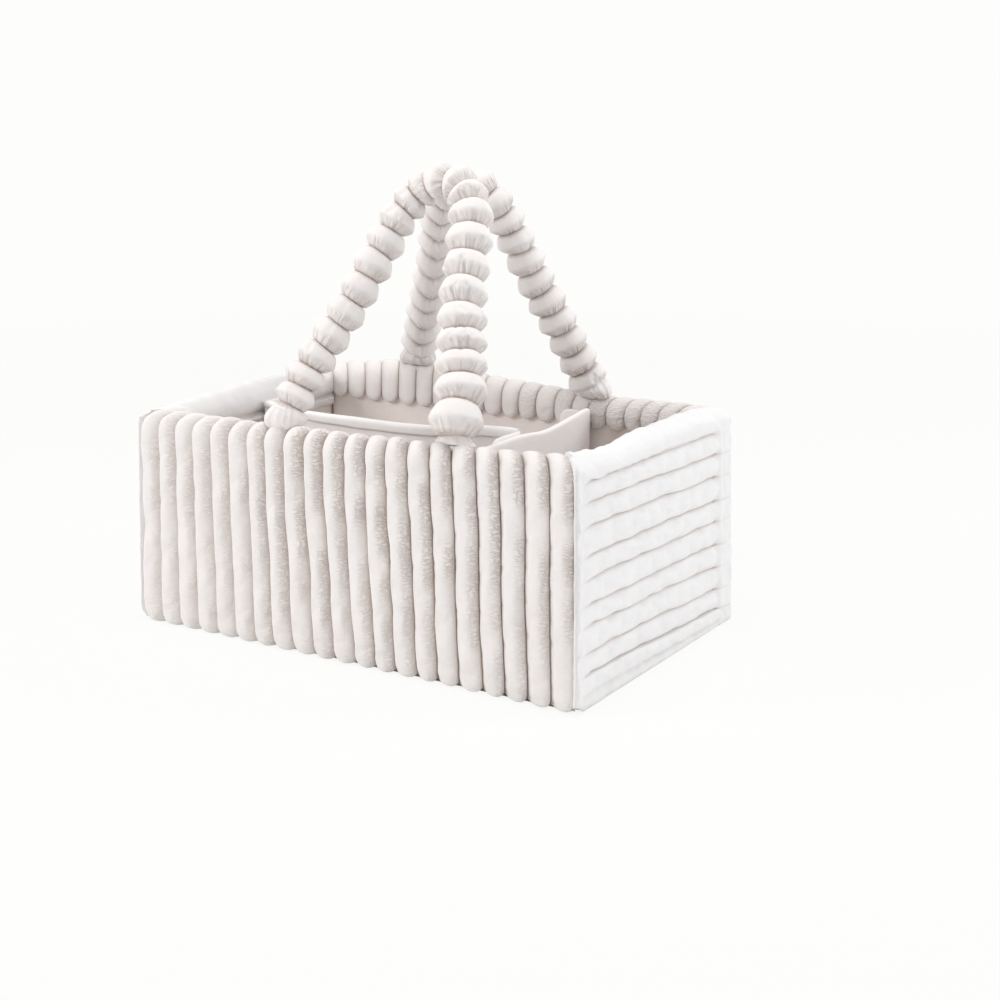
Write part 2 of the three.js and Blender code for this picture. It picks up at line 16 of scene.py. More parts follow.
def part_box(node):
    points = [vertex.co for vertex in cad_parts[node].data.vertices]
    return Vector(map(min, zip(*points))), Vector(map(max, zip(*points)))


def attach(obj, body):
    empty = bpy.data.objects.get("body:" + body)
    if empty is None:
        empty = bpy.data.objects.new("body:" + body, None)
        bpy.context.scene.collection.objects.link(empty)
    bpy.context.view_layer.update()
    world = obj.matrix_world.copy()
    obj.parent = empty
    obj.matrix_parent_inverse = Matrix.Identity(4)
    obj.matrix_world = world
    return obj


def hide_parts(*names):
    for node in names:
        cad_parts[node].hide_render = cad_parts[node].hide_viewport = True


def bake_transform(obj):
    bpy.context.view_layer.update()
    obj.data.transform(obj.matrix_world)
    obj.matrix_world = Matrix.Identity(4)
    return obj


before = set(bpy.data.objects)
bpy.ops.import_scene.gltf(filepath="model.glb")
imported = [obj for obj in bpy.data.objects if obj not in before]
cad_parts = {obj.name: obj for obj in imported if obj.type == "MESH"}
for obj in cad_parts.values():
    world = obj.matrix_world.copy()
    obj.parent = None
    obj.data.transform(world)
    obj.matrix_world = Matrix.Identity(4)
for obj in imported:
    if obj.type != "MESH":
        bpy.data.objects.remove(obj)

sc = bpy.context.scene
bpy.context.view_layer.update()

# %% [markdown]
# The camera stands a little above the rim, to the right of the caddy's front corner, with a longish
# lens that keeps the upright lines nearly parallel. It comes first.

# %% Camera
camera = bpy.data.objects.new("camera", bpy.data.cameras.new("camera"))
camera.data.sensor_width = 36
camera.data.lens = 61.86
camera.location = (0.7387, -1.0828, 0.4355)
camera.rotation_euler = Euler((radians(75.6), 0, radians(32.04)))
sc.collection.objects.link(camera)
sc.camera = camera
print("camera lens", camera.data.lens)

# %% [markdown]
# The sewn shapes are worked out in millimetres in a frame of each wall: x along the wall, depth from
# its outer face inwards, and height. One function leans that frame in towards the rim and turns it
# to its side of the caddy. A little unevenness from a noise field, which is the same on every run,
# keeps the wales from looking machined.

# %% Lengths of the walls
MM = 0.001
LENGTH, DEPTH, RIM_HEIGHT, TAPER, RIM_WAVE = 400, 250, 180, 4.5, 9
LONG_WALES, SIDE_WALES = 21, 9
WALLS = {  # turn is in degrees, and rim holds five shares of the wave along the rim
    "front": {"span": LENGTH, "reach": DEPTH / 2, "turn": 0, "rim": [-1, -0.85, -0.75, -0.45, 0]},
    "right": {"span": DEPTH, "reach": LENGTH / 2, "turn": 90, "rim": [0, -0.55, -0.28, -0.25, -0.6]},
    "back": {"span": LENGTH, "reach": DEPTH / 2, "turn": 180, "rim": [-0.6, -0.6, -0.05, 0.75, -0.5]},
    "left": {"span": DEPTH, "reach": LENGTH / 2, "turn": 270, "rim": [-0.5, -0.55, -0.4, -0.7, -1]},
}


def mix(first, second, share):
    return first + (second - first) * share


def within(value, low=0.0, high=1.0):
    return min(max(value, low), high)


def eased(value):
    share = within(value)
    return share * share * (3 - 2 * share)


def wobble(x, y=0.0, z=0.0):
    """A smooth uneven number from -1 to 1, the same on every run"""
    return noise.noise(Vector((x + 3.7, y - 1.9, z + 8.3)))


def rim_at(wall, x):
    """Height of the wall's rim at x along it, between its five measured shares"""
    place = within(x / wall["span"] + 0.5) * 4
    step = min(int(place), 3)
    return RIM_HEIGHT + RIM_WAVE * mix(wall["rim"][step], wall["rim"][step + 1], place - step)


def turned(wall, x, y, height):
    """From a wall's own frame, with y from the caddy's middle, to the wall's side of the caddy"""
    turn = radians(wall["turn"])
    return Vector((x * cos(turn) - y * sin(turn), x * sin(turn) + y * cos(turn), height))


def on_wall(wall, x, depth, height):
    """A point of an upright wall, leant in towards the rim and turned to its side of the caddy"""
    lean = TAPER * height / RIM_HEIGHT
    y = depth + lean * (1 - depth / wall["reach"]) - wall["reach"]
    return turned(wall, x * (1 - 2 * lean / wall["span"]), y, height)


for name, wall in WALLS.items():
    print(name, "rim heights:", [round(rim_at(wall, x * wall["span"])) for x in (-0.5, 0, 0.5)])

# %% [markdown]
# Every sewn piece starts as a flat piece of cloth: a grid, whose corners are then moved to their
# place on the body of the piece. A grid that meets itself becomes a sleeve, and its open ends are
# closed. The grid keeps the cloth's own flat coordinates for the pile, and two marks that the
# finishes read: how deep in a seam a point lies, which they paint as shade, and how much the pile
# is crushed there, which creases the pile and is painted as shade too.

# %% Cloth laid out from a grid
def smooth_run(points, counts):
    """Samples of a smooth line through points of 2 or 3 numbers, with a count of steps a stretch"""
    points = [Vector(p).to_3d() for p in points]
    ends = [points[0] * 2 - points[1], *points, points[-1] * 2 - points[-2]]
    samples = []
    for k, count in enumerate(counts):
        p0, p1, p2, p3 = ends[k:k + 4]
        t1 = max((p1 - p0).length, 1e-6) ** 0.5
        t2 = t1 + max((p2 - p1).length, 1e-6) ** 0.5
        t3 = t2 + max((p3 - p2).length, 1e-6) ** 0.5
        last = k == len(counts) - 1
        for step in range(count + last):
            t = mix(t1, t2, step / count)
            a1 = p0.lerp(p1, t / t1)
            a2 = p1.lerp(p2, (t - t1) / (t2 - t1))
            a3 = p2.lerp(p3, (t - t2) / (t3 - t2))
            b1 = a1.lerp(a2, t / t2)
            b2 = a2.lerp(a3, (t - t1) / (t3 - t1))
            samples.append(b1.lerp(b2, (t - t1) / (t2 - t1)))
    return samples


def side_of(samples, k):
    """The direction across a line of samples at its k-th, in the plane of x and y"""
    step = samples[min(k + 1, len(samples) - 1)] - samples[max(k - 1, 0)]
    return Vector((-step.y, step.x, 0)).normalized()


def stretch_of(keys, value):
    """Which stretch between rising keys holds a value, and its share of the way along it"""
    k = int(within(bisect_right(keys, value) - 1, 0, len(keys) - 2))
    return k, (value - keys[k]) / (keys[k + 1] - keys[k])


def piece_from(bm, name):
    """An object at the origin made of a finished bmesh, shaded smooth"""
    for face in bm.faces:
        face.smooth = True
    data = bpy.data.meshes.new(name)
    bm.to_mesh(data)
    bm.free()
    piece = bpy.data.objects.new(name, data)
    sc.collection.objects.link(piece)
    return piece


def cloth(name, across, along, place, is_closed=False, thickness=0.0):
    """Cloth of across by along cells. place(i, j) gives a corner's point in mm, painted seam shade and crush.
    """
    bm = bmesh.new()
    bmesh.ops.create_grid(bm, x_segments=across, y_segments=along, size=0.5, calc_uvs=False)
    # The seam mark is painted shade in seams, necks and corners. The crush mark creases the pile and paints
    # shade on it.
    seam_shade = bm.verts.layers.float.new("seam_shade")
    crush_and_shade = bm.verts.layers.float.new("crush_and_shade")
    uv = bm.loops.layers.uv.new("cloth")
    corner = {}
    for vert in bm.verts:
        key = (round((vert.co.x + 0.5) * across), round((vert.co.y + 0.5) * along))
        corner[vert] = key
        point, vert[seam_shade], vert[crush_and_shade] = place(*key)
        vert.co = point * MM
    at = {key: vert.co for vert, key in corner.items()}
    wide, long = [0.0], [0.0]
    for i in range(across):
        wide.append(wide[-1] + (at[i + 1, along // 2] - at[i, along // 2]).length)
    for j in range(along):
        long.append(long[-1] + (at[across // 2, j + 1] - at[across // 2, j]).length)
    for face in bm.faces:
        for loop in face.loops:
            i, j = corner[loop.vert]
            loop[uv].uv = (wide[i], long[j])
    if is_closed:
        bmesh.ops.remove_doubles(bm, verts=bm.verts, dist=1e-6)
        open_ends = [edge for edge in bm.edges if edge.is_boundary]
        bmesh.ops.holes_fill(bm, edges=open_ends, sides=0)
        for edge in open_ends:
            edge.smooth = False
        bmesh.ops.recalc_face_normals(bm, faces=bm.faces)
    piece = piece_from(bm, name)
    if thickness:
        wall = piece.modifiers.new("thickness", "SOLIDIFY")
        wall.thickness = thickness * MM
        wall.offset = -1
    size = [round(reached[-1] / MM) for reached in (wide, long)]
    print(name, "cloth", size[0], "by", size[1], "mm,", len(piece.data.vertices), "corners")
    return piece


def finished(piece, finish, body, node):
    """Gives a piece its finish in a new slot and its body, if any, and hides the solid it stands for"""
    piece.data.materials.append(finish)
    if body:
        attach(piece, body)
    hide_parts(node)


# %% [markdown]
# Padding pushes the plush out between its seams, and the cloth, which is cut a little larger than its
# seams, puckers there. Blender's Cloth works that out on a coarse copy of the piece. The copy is held
# along its seams and blown up for twenty frames without gravity. How far each of its corners has
# moved, up to a cap, is then added to the fine cloth.

# %% Padding blown up by the cloth solver
BLOWN_FRAMES, BLOWN_PRESSURE = 20, 4.0


def blown_out(name, i_keys, j_keys, place, is_held, slack, cap):
    """Returns place with the padding's push added, up to cap mm. The keys pick the coarse copy's
    columns and rows, and slack is the share by which the cloth is larger than its seams."""
    bm = bmesh.new()
    bmesh.ops.create_grid(bm, x_segments=len(i_keys) - 1, y_segments=len(j_keys) - 1, size=0.5)
    starts = {}
    for vert in bm.verts:
        a = round((vert.co.x + 0.5) * (len(i_keys) - 1))
        b = round((vert.co.y + 0.5) * (len(j_keys) - 1))
        vert.co = place(i_keys[a], j_keys[b])[0] * MM
        starts[a, b] = vert.co.copy()
    bmesh.ops.remove_doubles(bm, verts=bm.verts, dist=1e-6)
    bmesh.ops.recalc_face_normals(bm, faces=bm.faces)
    copy = piece_from(bm, f"{name}_copy")
    corners = kdtree.KDTree(len(copy.data.vertices))
    for vert in copy.data.vertices:
        corners.insert(vert.co, vert.index)
    corners.balance()
    index_of = {key: corners.find(start)[1] for key, start in starts.items()}
    held = [index for (a, b), index in index_of.items() if is_held(i_keys[a], j_keys[b])]
    copy.vertex_groups.new(name="seams").add(held, 1.0, "REPLACE")
    blown = copy.modifiers.new("padding", "CLOTH")
    blown.settings.vertex_group_mass = "seams"
    blown.settings.use_pressure = True
    blown.settings.uniform_pressure_force = BLOWN_PRESSURE
    blown.settings.shrink_min = -slack
    blown.settings.effector_weights.gravity = 0
    blown.point_cache.frame_start, blown.point_cache.frame_end = 1, BLOWN_FRAMES
    for frame_number in range(1, BLOWN_FRAMES + 1):
        sc.frame_set(frame_number)
    ended = copy.evaluated_get(bpy.context.evaluated_depsgraph_get()).data.vertices
    push = {}
    for key, start in starts.items():
        move = (ended[index_of[key]].co - start) / MM
        push[key] = move * min(1, cap / max(move.length, 1e-6))
    farthest = max(move.length for move in push.values())
    print(name, "blown out by up to", round(farthest, 2), "mm,", len(starts), "corners")
    bpy.data.objects.remove(copy)
    sc.frame_set(1)

    def padded_place(i, j):
        point, *marks = place(i, j)
        a, across = stretch_of(i_keys, i)
        b, along = stretch_of(j_keys, j)
        low = push[a, b].lerp(push[a + 1, b], across)
        high = push[a, b + 1].lerp(push[a + 1, b + 1], across)
        return point + low.lerp(high, along), *marks

    return padded_place


# %% [markdown]
# Finishes are drawn as nodes. The sums between them are written as plain expressions: a thread
# stands for one socket, and adding or multiplying threads adds the Math nodes. Numbers that are the
# same all over a surface are set on the shader itself.

# %% Threads and finishes
class Thread:
    """One socket of a finish. Sums with it become Math nodes."""

    def __init__(self, finish, socket):
        self.finish, self.socket = finish, socket

    def __add__(self, other):
        return self.finish.maths("ADD", self, other)

    def __sub__(self, other):
        return self.finish.maths("SUBTRACT", self, other)

    def __rsub__(self, other):
        return self.finish.maths("SUBTRACT", other, self)

    def __mul__(self, other):
        return self.finish.maths("MULTIPLY", self, other)

    def __abs__(self):
        return self.finish.maths("ABSOLUTE", self)

    __radd__, __rmul__ = __add__, __mul__


class Nodes:
    """The nodes of a finish, or of the room"""

    def __init__(self, tree):
        self.tree = tree

    def node(self, kind, settings=None, sockets=None, output=0):
        made = self.tree.nodes.new(kind)
        for setting, value in (settings or {}).items():
            setattr(made, setting, value)
        for socket, value in (sockets or {}).items():
            self.feed(made.inputs[socket], value)
        return Thread(self, made.outputs[output])

    def feed(self, socket, value):
        if isinstance(value, Thread):
            self.tree.links.new(value.socket, socket)
        else:
            socket.default_value = value

    def maths(self, operation, *values, **settings):
        settings["operation"] = operation
        return self.node("ShaderNodeMath", settings, dict(enumerate(values)))

    def shown(self):
        """1 for a ray that shows the camera this place, also in gloss or through glass, and 0 for light"""
        straight, gloss, through = (self.node("ShaderNodeLightPath", output=f"Is {kind} Ray")
                                    for kind in ("Camera", "Glossy", "Transmission"))
        return self.maths("MAXIMUM", self.maths("MAXIMUM", straight, gloss), through)


class Finish(Nodes):
    """The nodes of one material, whose patterns lie on the object's own coordinates"""

    def __init__(self, name, **constants):
        self.material = bpy.data.materials.new(name)
        self.material.use_nodes = True
        super().__init__(self.material.node_tree)
        self.shader = self.tree.nodes["Principled BSDF"]
        for socket, value in constants.items():
            self.shader.inputs[socket.replace("_", " ")].default_value = value
        self.place = self.node("ShaderNodeTexCoord", output="Object")

    def blend(self, share, first, second):
        settings = {"data_type": "RGBA", "clamp_factor": True}
        return self.node("ShaderNodeMix", settings, {0: share, 6: (*first, 1), 7: (*second, 1)}, output=2)

    def mark(self, name):
        return self.node("ShaderNodeAttribute", {"attribute_name": name}, output="Fac")

    def specks(self, scale, detail=2.0, place=None, stretch=(1, 1, 1), turn=0.0):
        sized = {"Vector": place or self.place, "Scale": stretch, "Rotation": (0, 0, turn)}
        turned_place = self.node("ShaderNodeMapping", {"vector_type": "POINT"}, sized)
        return self.node("ShaderNodeTexNoise", {}, {"Vector": turned_place, "Scale": scale, "Detail": detail})

    def closed(self, shade, pale, deep, height, strength, depth):
        """The material, coloured from pale to deep by shade and raised by height, up to depth in metres"""
        relief = {"Height": height, "Strength": strength, "Distance": depth}
        self.feed(self.shader.inputs["Base Color"], self.blend(shade, pale, deep))
        self.feed(self.shader.inputs["Normal"], self.node("ShaderNodeBump", {}, relief))
        return self.material


# %% [markdown]
# The plush is a short, dense pile. Close to, it is a field of fine tufts, brushed a little unevenly.
# On the flank of a wale, where the cloth is drawn into the seam, the pile lies over in short slanting
# creases. The seams, the creases and the crushed pile are painted deeper in colour as shade, for the
# little light that comes back out of them.

# %% Plush finish
def plush(name, pale, deep, crease, nap=0.0, lay=(0.45, 1.0), turn=-0.7):
    """crease is the strength of the creases, which lay and turn place on the cloth, and of the painted
    shade along them. nap is how much painted shade the crushed pile gets."""
    finish = Finish(name, Roughness=0.95, Sheen_Weight=0.2, Sheen_Roughness=0.5, Specular_IOR_Level=0.15)
    flat = finish.node("ShaderNodeUVMap", {"uv_map": "cloth"})
    seam_shade, crush_and_shade = finish.mark("seam_shade"), finish.mark("crush_and_shade")
    tufts, clumps, brushed = finish.specks(1000, detail=3.0), finish.specks(230), finish.specks(20)
    strokes = finish.specks(380, detail=1.5, place=flat, stretch=(*lay, 1.0), turn=turn)
    ridge = finish.maths("MAXIMUM", 1 - abs(strokes * 2 - 1) * 4, 0.0)
    height = tufts * 0.22 + clumps * 0.3 + (1 - ridge) * crush_and_shade * (1.15 * crease)
    # The seam mark is painted shade. clumps and brushed are the pile's own uneven tone.
    shade = seam_shade * 0.85 + (0.5 - clumps) * 0.16 + (0.5 - brushed) * 0.2
    # Painted shade along the creases, and on the crushed pile by the nap.
    shade = shade + ridge * crush_and_shade * (0.3 * crease) + crush_and_shade * nap
    return finish.closed(shade, pale, deep, height, strength=0.6, depth=0.001)


COVER_PLUSH = plush("cover_plush", (0.875, 0.842, 0.82), (0.5, 0.405, 0.355), crease=1.1, nap=0.15)
# The side covers and the corner cords are the same plush as the covers, painted paler and with paler seam
# shade, as painted light where the side walls are lit.
LIT_SIDE_PLUSH = plush("lit_side_plush", (0.885, 0.873, 0.867), (0.69, 0.615, 0.575), crease=0.35)
BEAD_PLUSH = plush("bead_plush", (0.87, 0.835, 0.815), (0.58, 0.48, 0.43), crease=1.1, nap=0.06,
                   lay=(0.8, 0.13), turn=0.0)

# %% [markdown]
# The covers of the front and back are one piece of plush each, quilted into upright wales. A wale is
# like a long thin sausage: it bulges out between two straight seams, ends in a round tip under the
# caddy, and carries on over the rim and down inside as the facing. The cloth is laid out as a grid
# with more columns near the seams, and each corner is placed between two sections of the wall: one
# through the crest of a wale and one through a seam.

# %% Sections of an upright cover
ACROSS_A_WALE = [0, 0.02, 0.06, 0.13, 0.22, 0.33, 0.44, 0.56, 0.67, 0.78, 0.87, 0.94, 0.98]
COARSE_ACROSS = [0, 0.06, 0.22, 0.44, 0.67, 0.87]
UPRIGHT_ROWS = [2, 3, 3, 4, 32, 28, 4, 4, 4, 4, 4, 4, 4, 3, 3, 2]
FACE_START, FACE_END, SHOULDER_ROW = 12, 72, 82  # rows where the wall's plain face and the rim's bend lie
FACING_FOOT, RIM_MIDDLE = RIM_HEIGHT - 32, 13
COVER_BACK, FACING_BACK, BOARD_TOP = 9.25, 19.35, 157.6
CORNER_ROOM, PROUD = 2.2, 1.5


def upright_crest(rim):
    foot = FACING_FOOT
    return [
        (8.6, 0.3), (5.2, 0.15), (1.7, 1.9), (0.2, 7), (0, 15), (0, rim / 2), (0, rim - 22), (0.3, rim - 12),
        (2.9, rim - 4.2), (9.5, rim), (16.5, rim - 0.8), (22.2, rim - 6.5), (24.2, rim - 14),
        (24.2, foot + 9), (23.4, foot + 2.8), (21.4, foot + 0.3), (19.6, foot + 2.5),
    ]


def upright_valley(rim, rolled):
    """rolled is how far the seams sink at the rim, in mm"""
    foot = FACING_FOOT
    return [
        (8.8, 4.8), (8.6, 5.3), (8.3, 6.6), (8, 9.4), (7.7, 18), (7.5, rim / 2), (7.5, rim - 24),
        (7.7, rim - 15), (8.7, rim - 4.4 - rolled), (11, rim - rolled), (15.8, rim - 0.9 * rolled),
        (20.4, rim - 7.6), (22, rim - 15), (22, foot + 17), (21.6, foot + 12), (20.4, foot + 9),
        (19.6, foot + 7),
    ]


def behind_cover(foot):
    """The hidden way back from the facing's foot to the cover's own, under the fold"""
    return [(FACING_BACK, foot + 7), (FACING_BACK, BOARD_TOP), (COVER_BACK, BOARD_TOP), (COVER_BACK, 100),
            (COVER_BACK, 7)]


def swell(share, power=2.1):
    """How far a wale stands out at a share of its width, from 0 at a seam to 1 at the crest"""
    return max(1 - abs(2 * share - 1) ** power, 0) ** (1 / power)


def leaning_swell(share):
    """As swell, for a wale whose crest lies nearer to its left seam, as the cloth was brushed"""
    return swell(share + 0.34 * share * (1 - share), 2.6)


print("rows of an upright cover:", sum(UPRIGHT_ROWS) + 1)


# %% Upright covers
def upright_cover(name):
    wall = WALLS[name]
    seed, rolled = (11, 6.6) if name == "front" else (47, 2.8)
    seams = [k / LONG_WALES + (0.06 * wobble(k * 1.7, seed) / LONG_WALES if 0 < k < LONG_WALES else 0)
             for k in range(LONG_WALES + 1)]
    columns = [(wale, share, mix(seams[wale], seams[wale + 1], share))
               for wale in range(LONG_WALES) for share in ACROSS_A_WALE]
    columns.append((LONG_WALES - 1, 1.0, 1.0))
    hidden_run = [Vector(point).to_3d() for point in behind_cover(FACING_FOOT)]
    runs = []
    for wale, _, along in columns:
        side, shift = 2 * along - 1, -10 * sin(pi * along)
        rim = rim_at(wall, side * (wall["span"] / 2 - 7) + shift) + 1.5 * wobble(wale * 3.7, seed + 8)
        crest, valley = (smooth_run(section, UPRIGHT_ROWS) + hidden_run
                         for section in (upright_crest(rim), upright_valley(rim, rolled)))
        runs.append((side, shift, rim, crest, valley))
    rows, outside, last = len(runs[0][-1]), sum(UPRIGHT_ROWS), len(columns) - 1

    def place(i, j):
        j %= rows
        wale, share, along = columns[i]
        side, shift, rim, crest, valley = runs[i]
        is_end = i in (0, last)
        full = 1 - 0.12 * abs(wobble(wale * 2.3, j / 9, seed))
        tip = max(eased((10 - j) / 6), eased((j - outside + 20) / 12) if j <= outside else 1,
                  0.8 * eased(1 - abs(j - SHOULDER_ROW) / 8))
        stands = max(mix(leaning_swell(share), swell(share, 2), tip), 0.72 if is_end else 0) * full
        depth, height, _ = valley[j].lerp(crest[j], stands)
        reach = wall["span"] / 2 + 0.8 * PROUD - max(CORNER_ROOM, depth)
        sway = 0 if is_end or j > outside else 1.1 * wobble(along * LONG_WALES / 2.2, height / 52, seed + 2)
        point = on_wall(wall, side * reach + shift * height / rim + sway, depth, height)
        # The crush lies on each wale's right flank and grows towards the front's right end. It creases the
        # pile there and paints the shade that falls on that side.
        slope = eased((share - 0.42) / 0.3) * eased((1.04 - share) / 0.12)
        patch = eased(0.75 + 1.5 * wobble(wale * 3.1, height / 26, seed + 5))
        brushed = mix(0.45, 1, eased((along - 0.28) / 0.1)) if name == "front" else 0.8
        crush_and_shade = slope * mix(patch, 1, 0.15) * mix(0.55, 1, eased((height - 10) / 110)) * brushed + 0.05
        # On the facing the crush is ruffled, more on the back's right half. It creases the pile and paints
        # shade there too.
        if depth > RIM_MIDDLE:
            ruffled = 0.6 * eased((point.x - 5) / 25) if name == "back" else 0.3
            crush_and_shade = 0.05 + 0.7 * ruffled * patch
        # The seam mark paints shade down each valley between the wales.
        return point, (1 - stands) ** 1.4, within(crush_and_shade)

    def is_held(i, j):
        return columns[i][1] in (0, 1) or j < 6 or j > outside - 4

    i_keys = [k for k, (_, share, _) in enumerate(columns) if share in COARSE_ACROSS or k == last]
    j_keys = [*range(0, FACE_START, 2), *range(FACE_START, FACE_END), *range(FACE_END, outside, 2),
              *range(outside, rows + 1)]
    place = blown_out(f"{name}_wales", i_keys, j_keys, place, is_held, slack=0.01, cap=1.2)
    piece = cloth(f"{name}_wales", last, rows, place, is_closed=True)
    finished(piece, COVER_PLUSH, "caddy", f"{name}_plush_cover")


for wall_name in ("front", "back"):
    upright_cover(wall_name)

# %% [markdown]
# The covers of the two sides are quilted the other way, with nine level wales, a plain roll above
# them and a narrow band below. Their seams sink a little towards the back. They fade out before the
# front corner, and end at an upright seam close to the back one, which draws the cloth in.

# %% Side covers
SEAMS_AT_FRONT = [13, 26, 41, 60, 74.5, 93, 109, 129, 146, 160]
SEAMS_AT_BACK = [4, 14, 31, 49, 67, 86, 103, 122, 139.5, 157]
UP_A_WALE = [0, 0.03, 0.09, 0.19, 0.33, 0.5, 0.67, 0.81, 0.91, 0.97]
SIDE_FACING_FOOT = RIM_HEIGHT - 39
ALONG_A_SIDE = [0, 0.3, 0.7, 1.3, 2.1, 3.1, 4.4, *[6 + 2.045 * k for k in range(115)], 242, 243.2, 244.2, 245]
ROLL_ROWS = [3, 3, 4, 4, 4, 4, 4, 4, 4, 3, 3, 5, 3, 3, 3]
BAND_ROWS, TURNED_ROWS = 5, 7  # below the wales, and out of sight behind the cover


def side_section(name, from_front, seed):
    """A side cover's section, from_front mm from its front end, as depths, heights and seam marks"""
    wall, foot, length = WALLS[name], SIDE_FACING_FOOT, ALONG_A_SIDE[-1]
    to_back, from_back = from_front / length, length - from_front
    side = 2 * to_back - 1 if name == "right" else 1 - 2 * to_back
    rim = rim_at(wall, side * wall["span"] / 2)
    quilted = eased((from_front - 3) / 22) * mix(0.16, 1, eased((from_back - 19) / 5))
    tuck = exp(-((from_back - 23) / 2.4) ** 2)
    upright_seam = exp(-((from_back - 21) / 1.5) ** 2)
    seams = [mix(low, high, to_back ** 1.3) + wobble(k * 2.1, to_back * 4, seed)
             for k, (low, high) in enumerate(zip(SEAMS_AT_FRONT, SEAMS_AT_BACK))]
    dip = (4.7 + 1.1 * wobble(side * 6, 2, seed)) * quilted + 1.2 * tuck
    run = [(8.6, 0.3, 0), (5, 0.2, 0), (1.9, 0.9, 0), (0.8, max(seams[0] * 0.35, 1.6), 0),
           (0.5, max(seams[0] * 0.6, 2.6), 0)]
    for k in range(SIDE_WALES):
        faint = 0.35 if k == 0 else 1 + 0.5 * tuck
        full = 1 - 0.2 * abs(wobble(k * 2.9, side * 4, seed + 3))
        for share in UP_A_WALE:
            stands = swell(share, 2) * full
            # line is painted shade in each seam, with a faint painted shade down the wale.
            line = max(1 - min(share, 1 - share) / 0.06, 0) * (quilted + 1.2 * tuck) + 0.12 * (1 - stands)
            run.append((dip * faint * (1 - stands), mix(seams[k], seams[k + 1], share), 0.9 * line * faint))
    fold = mix(foot, rim - 12, 0.42) + 2 * wobble(side * 3, 9, seed)
    top = seams[-1]
    over = [
        (dip, top), (0.6 * dip, top + 1.2), (0.7, top + 3), (0.2, max(rim - 9, top + 4.6)), (2.9, rim - 4.2),
        (9.5, rim), (16.5, rim - 0.8), (22.2, rim - 6.5), (24.4, rim - 13), (23.8, fold + 4), (20.4, fold),
        (23.9, fold - 4), (24.5, foot + 7), (23.4, foot + 2.2), (21.3, foot + 0.2), (19.6, foot + 2.4),
    ]
    for point in smooth_run(over, ROLL_ROWS):
        # Painted shade in the top seam and in the fold between the two rolls.
        deep = 0.9 * quilted * (1 - eased(hypot(point.x - dip, point.y - top) / 1.4))
        if point.x > 19:
            deep = max(deep, 0.8 * (1 - eased(abs(point.y - fold) / 2.5)))
        run.append((point.x, point.y, deep))
    # A faint painted shade along the upright seam near the back.
    run = [(d + 0.45 * upright_seam * (d < 8), h, max(c, 0.16 * upright_seam * (h < top + 4)))
           for d, h, c in run]
    return side, from_front, run + [(d, h, 0.0) for d, h in behind_cover(foot)]


def side_cover(name):
    wall = WALLS[name]
    seed = 5 if name == "right" else 29
    runs = [side_section(name, from_front, seed) for from_front in ALONG_A_SIDE]
    columns, rows = len(runs) - 1, len(runs[0][-1])
    hidden, seams_end = rows - TURNED_ROWS, BAND_ROWS + SIDE_WALES * len(UP_A_WALE)

    def place(i, j):
        side, from_front, run = runs[i]
        depth, height, deep = run[j % rows]
        reach = wall["span"] / 2 - max(0.2, depth)
        if depth < 6:
            depth += 2.2 * (1 - sqrt(max(1 - (1 - within(from_front / 3.5)) ** 2, 0)))
            height += 5 * (1 - eased(from_front / 10)) * (1 - eased(height / 14))
        elif depth < 24:
            height += 1.2 * wobble(side * 11, 3, seed) * eased((height - SIDE_FACING_FOOT - 18) / 16)
        if depth < 8 or depth > 20:
            depth -= 0.5 * (1 - deep) * wobble(side * 8, height / 14, seed + 7)
        crush_and_shade = 0.1 + 0.5 * eased(0.3 + wobble(side * 12, height / 9, seed + 9)) * (1 - deep)
        depth -= PROUD * (1 - eased((depth - 6) / 3))
        return on_wall(wall, side * reach, depth, height), deep, within(crush_and_shade)

    def is_held(i, j):
        is_seam = j <= seams_end and (j - BAND_ROWS) % len(UP_A_WALE) == 0
        return i in (0, columns) or j < 3 or j > hidden or is_seam

    i_keys = [0, *range(3, columns - 3, 2), columns]
    j_keys = [*range(BAND_ROWS), *range(BAND_ROWS, hidden, 2), *range(hidden, rows + 1)]
    place = blown_out(f"{name}_wales", i_keys, j_keys, place, is_held, slack=0.012, cap=1.0)
    piece = cloth(f"{name}_wales", columns, rows, place, is_closed=True)
    finished(piece, LIT_SIDE_PLUSH, "caddy", f"{name}_plush_cover")


for wall_name in ("right", "left"):
    side_cover(wall_name)

# %% [markdown]
# A narrow binding closes each upright corner, where the long covers meet the side covers in a mitre.
# It is a slim cord of the same plush, let into the seam, with its end tucked under at the top.

# %% Corner bindings
BINDING_SECTION = [(-1.5, 3.2), (-1.8, 2.6), (-2.3, 2.4), (-2.8, 2.6), (-3.2, 3.2), (-3.6, 4.4), (-3.2, 4.9),
                   (-2.2, 4.2)]
BINDING_MIDDLE = (-2.5, 3.6)
ENDS = [("front", -1, "left"), ("front", 1, "right"), ("back", -1, "right"), ("back", 1, "left")]


def corner_binding(wall_name, side, label):
    wall = WALLS[wall_name]
    half = wall["span"] / 2
    top = rim_at(wall, side * half) - 5
    ring = smooth_run([*BINDING_SECTION, BINDING_SECTION[0]], [3] * len(BINDING_SECTION))
    around, rows = len(ring) - 1, 70

    def place(i, j):
        height = mix(7, top, j / rows)
        tip = sqrt(max(1 - within((height - top + 4) / 4) ** 2, 0.02))
        tip *= sqrt(max(1 - within((8.5 - height) / 1.5) ** 2, 0.2))
        thick = tip * (1 + 0.16 * wobble(height / 7, side, 5))
        x, y = (mix(middle, edge, thick) for middle, edge in zip(BINDING_MIDDLE, ring[i % around]))
        y += 6 * eased((height - top + 12) / 12) ** 2
        return on_wall(wall, side * (half + x), y, height), 0.0, 0.15

    piece = cloth(f"{wall_name}_{label}_corner_cord", around, rows, place, is_closed=True)
    finished(piece, LIT_SIDE_PLUSH, "caddy", f"{wall_name}_{label}_corner_binding")


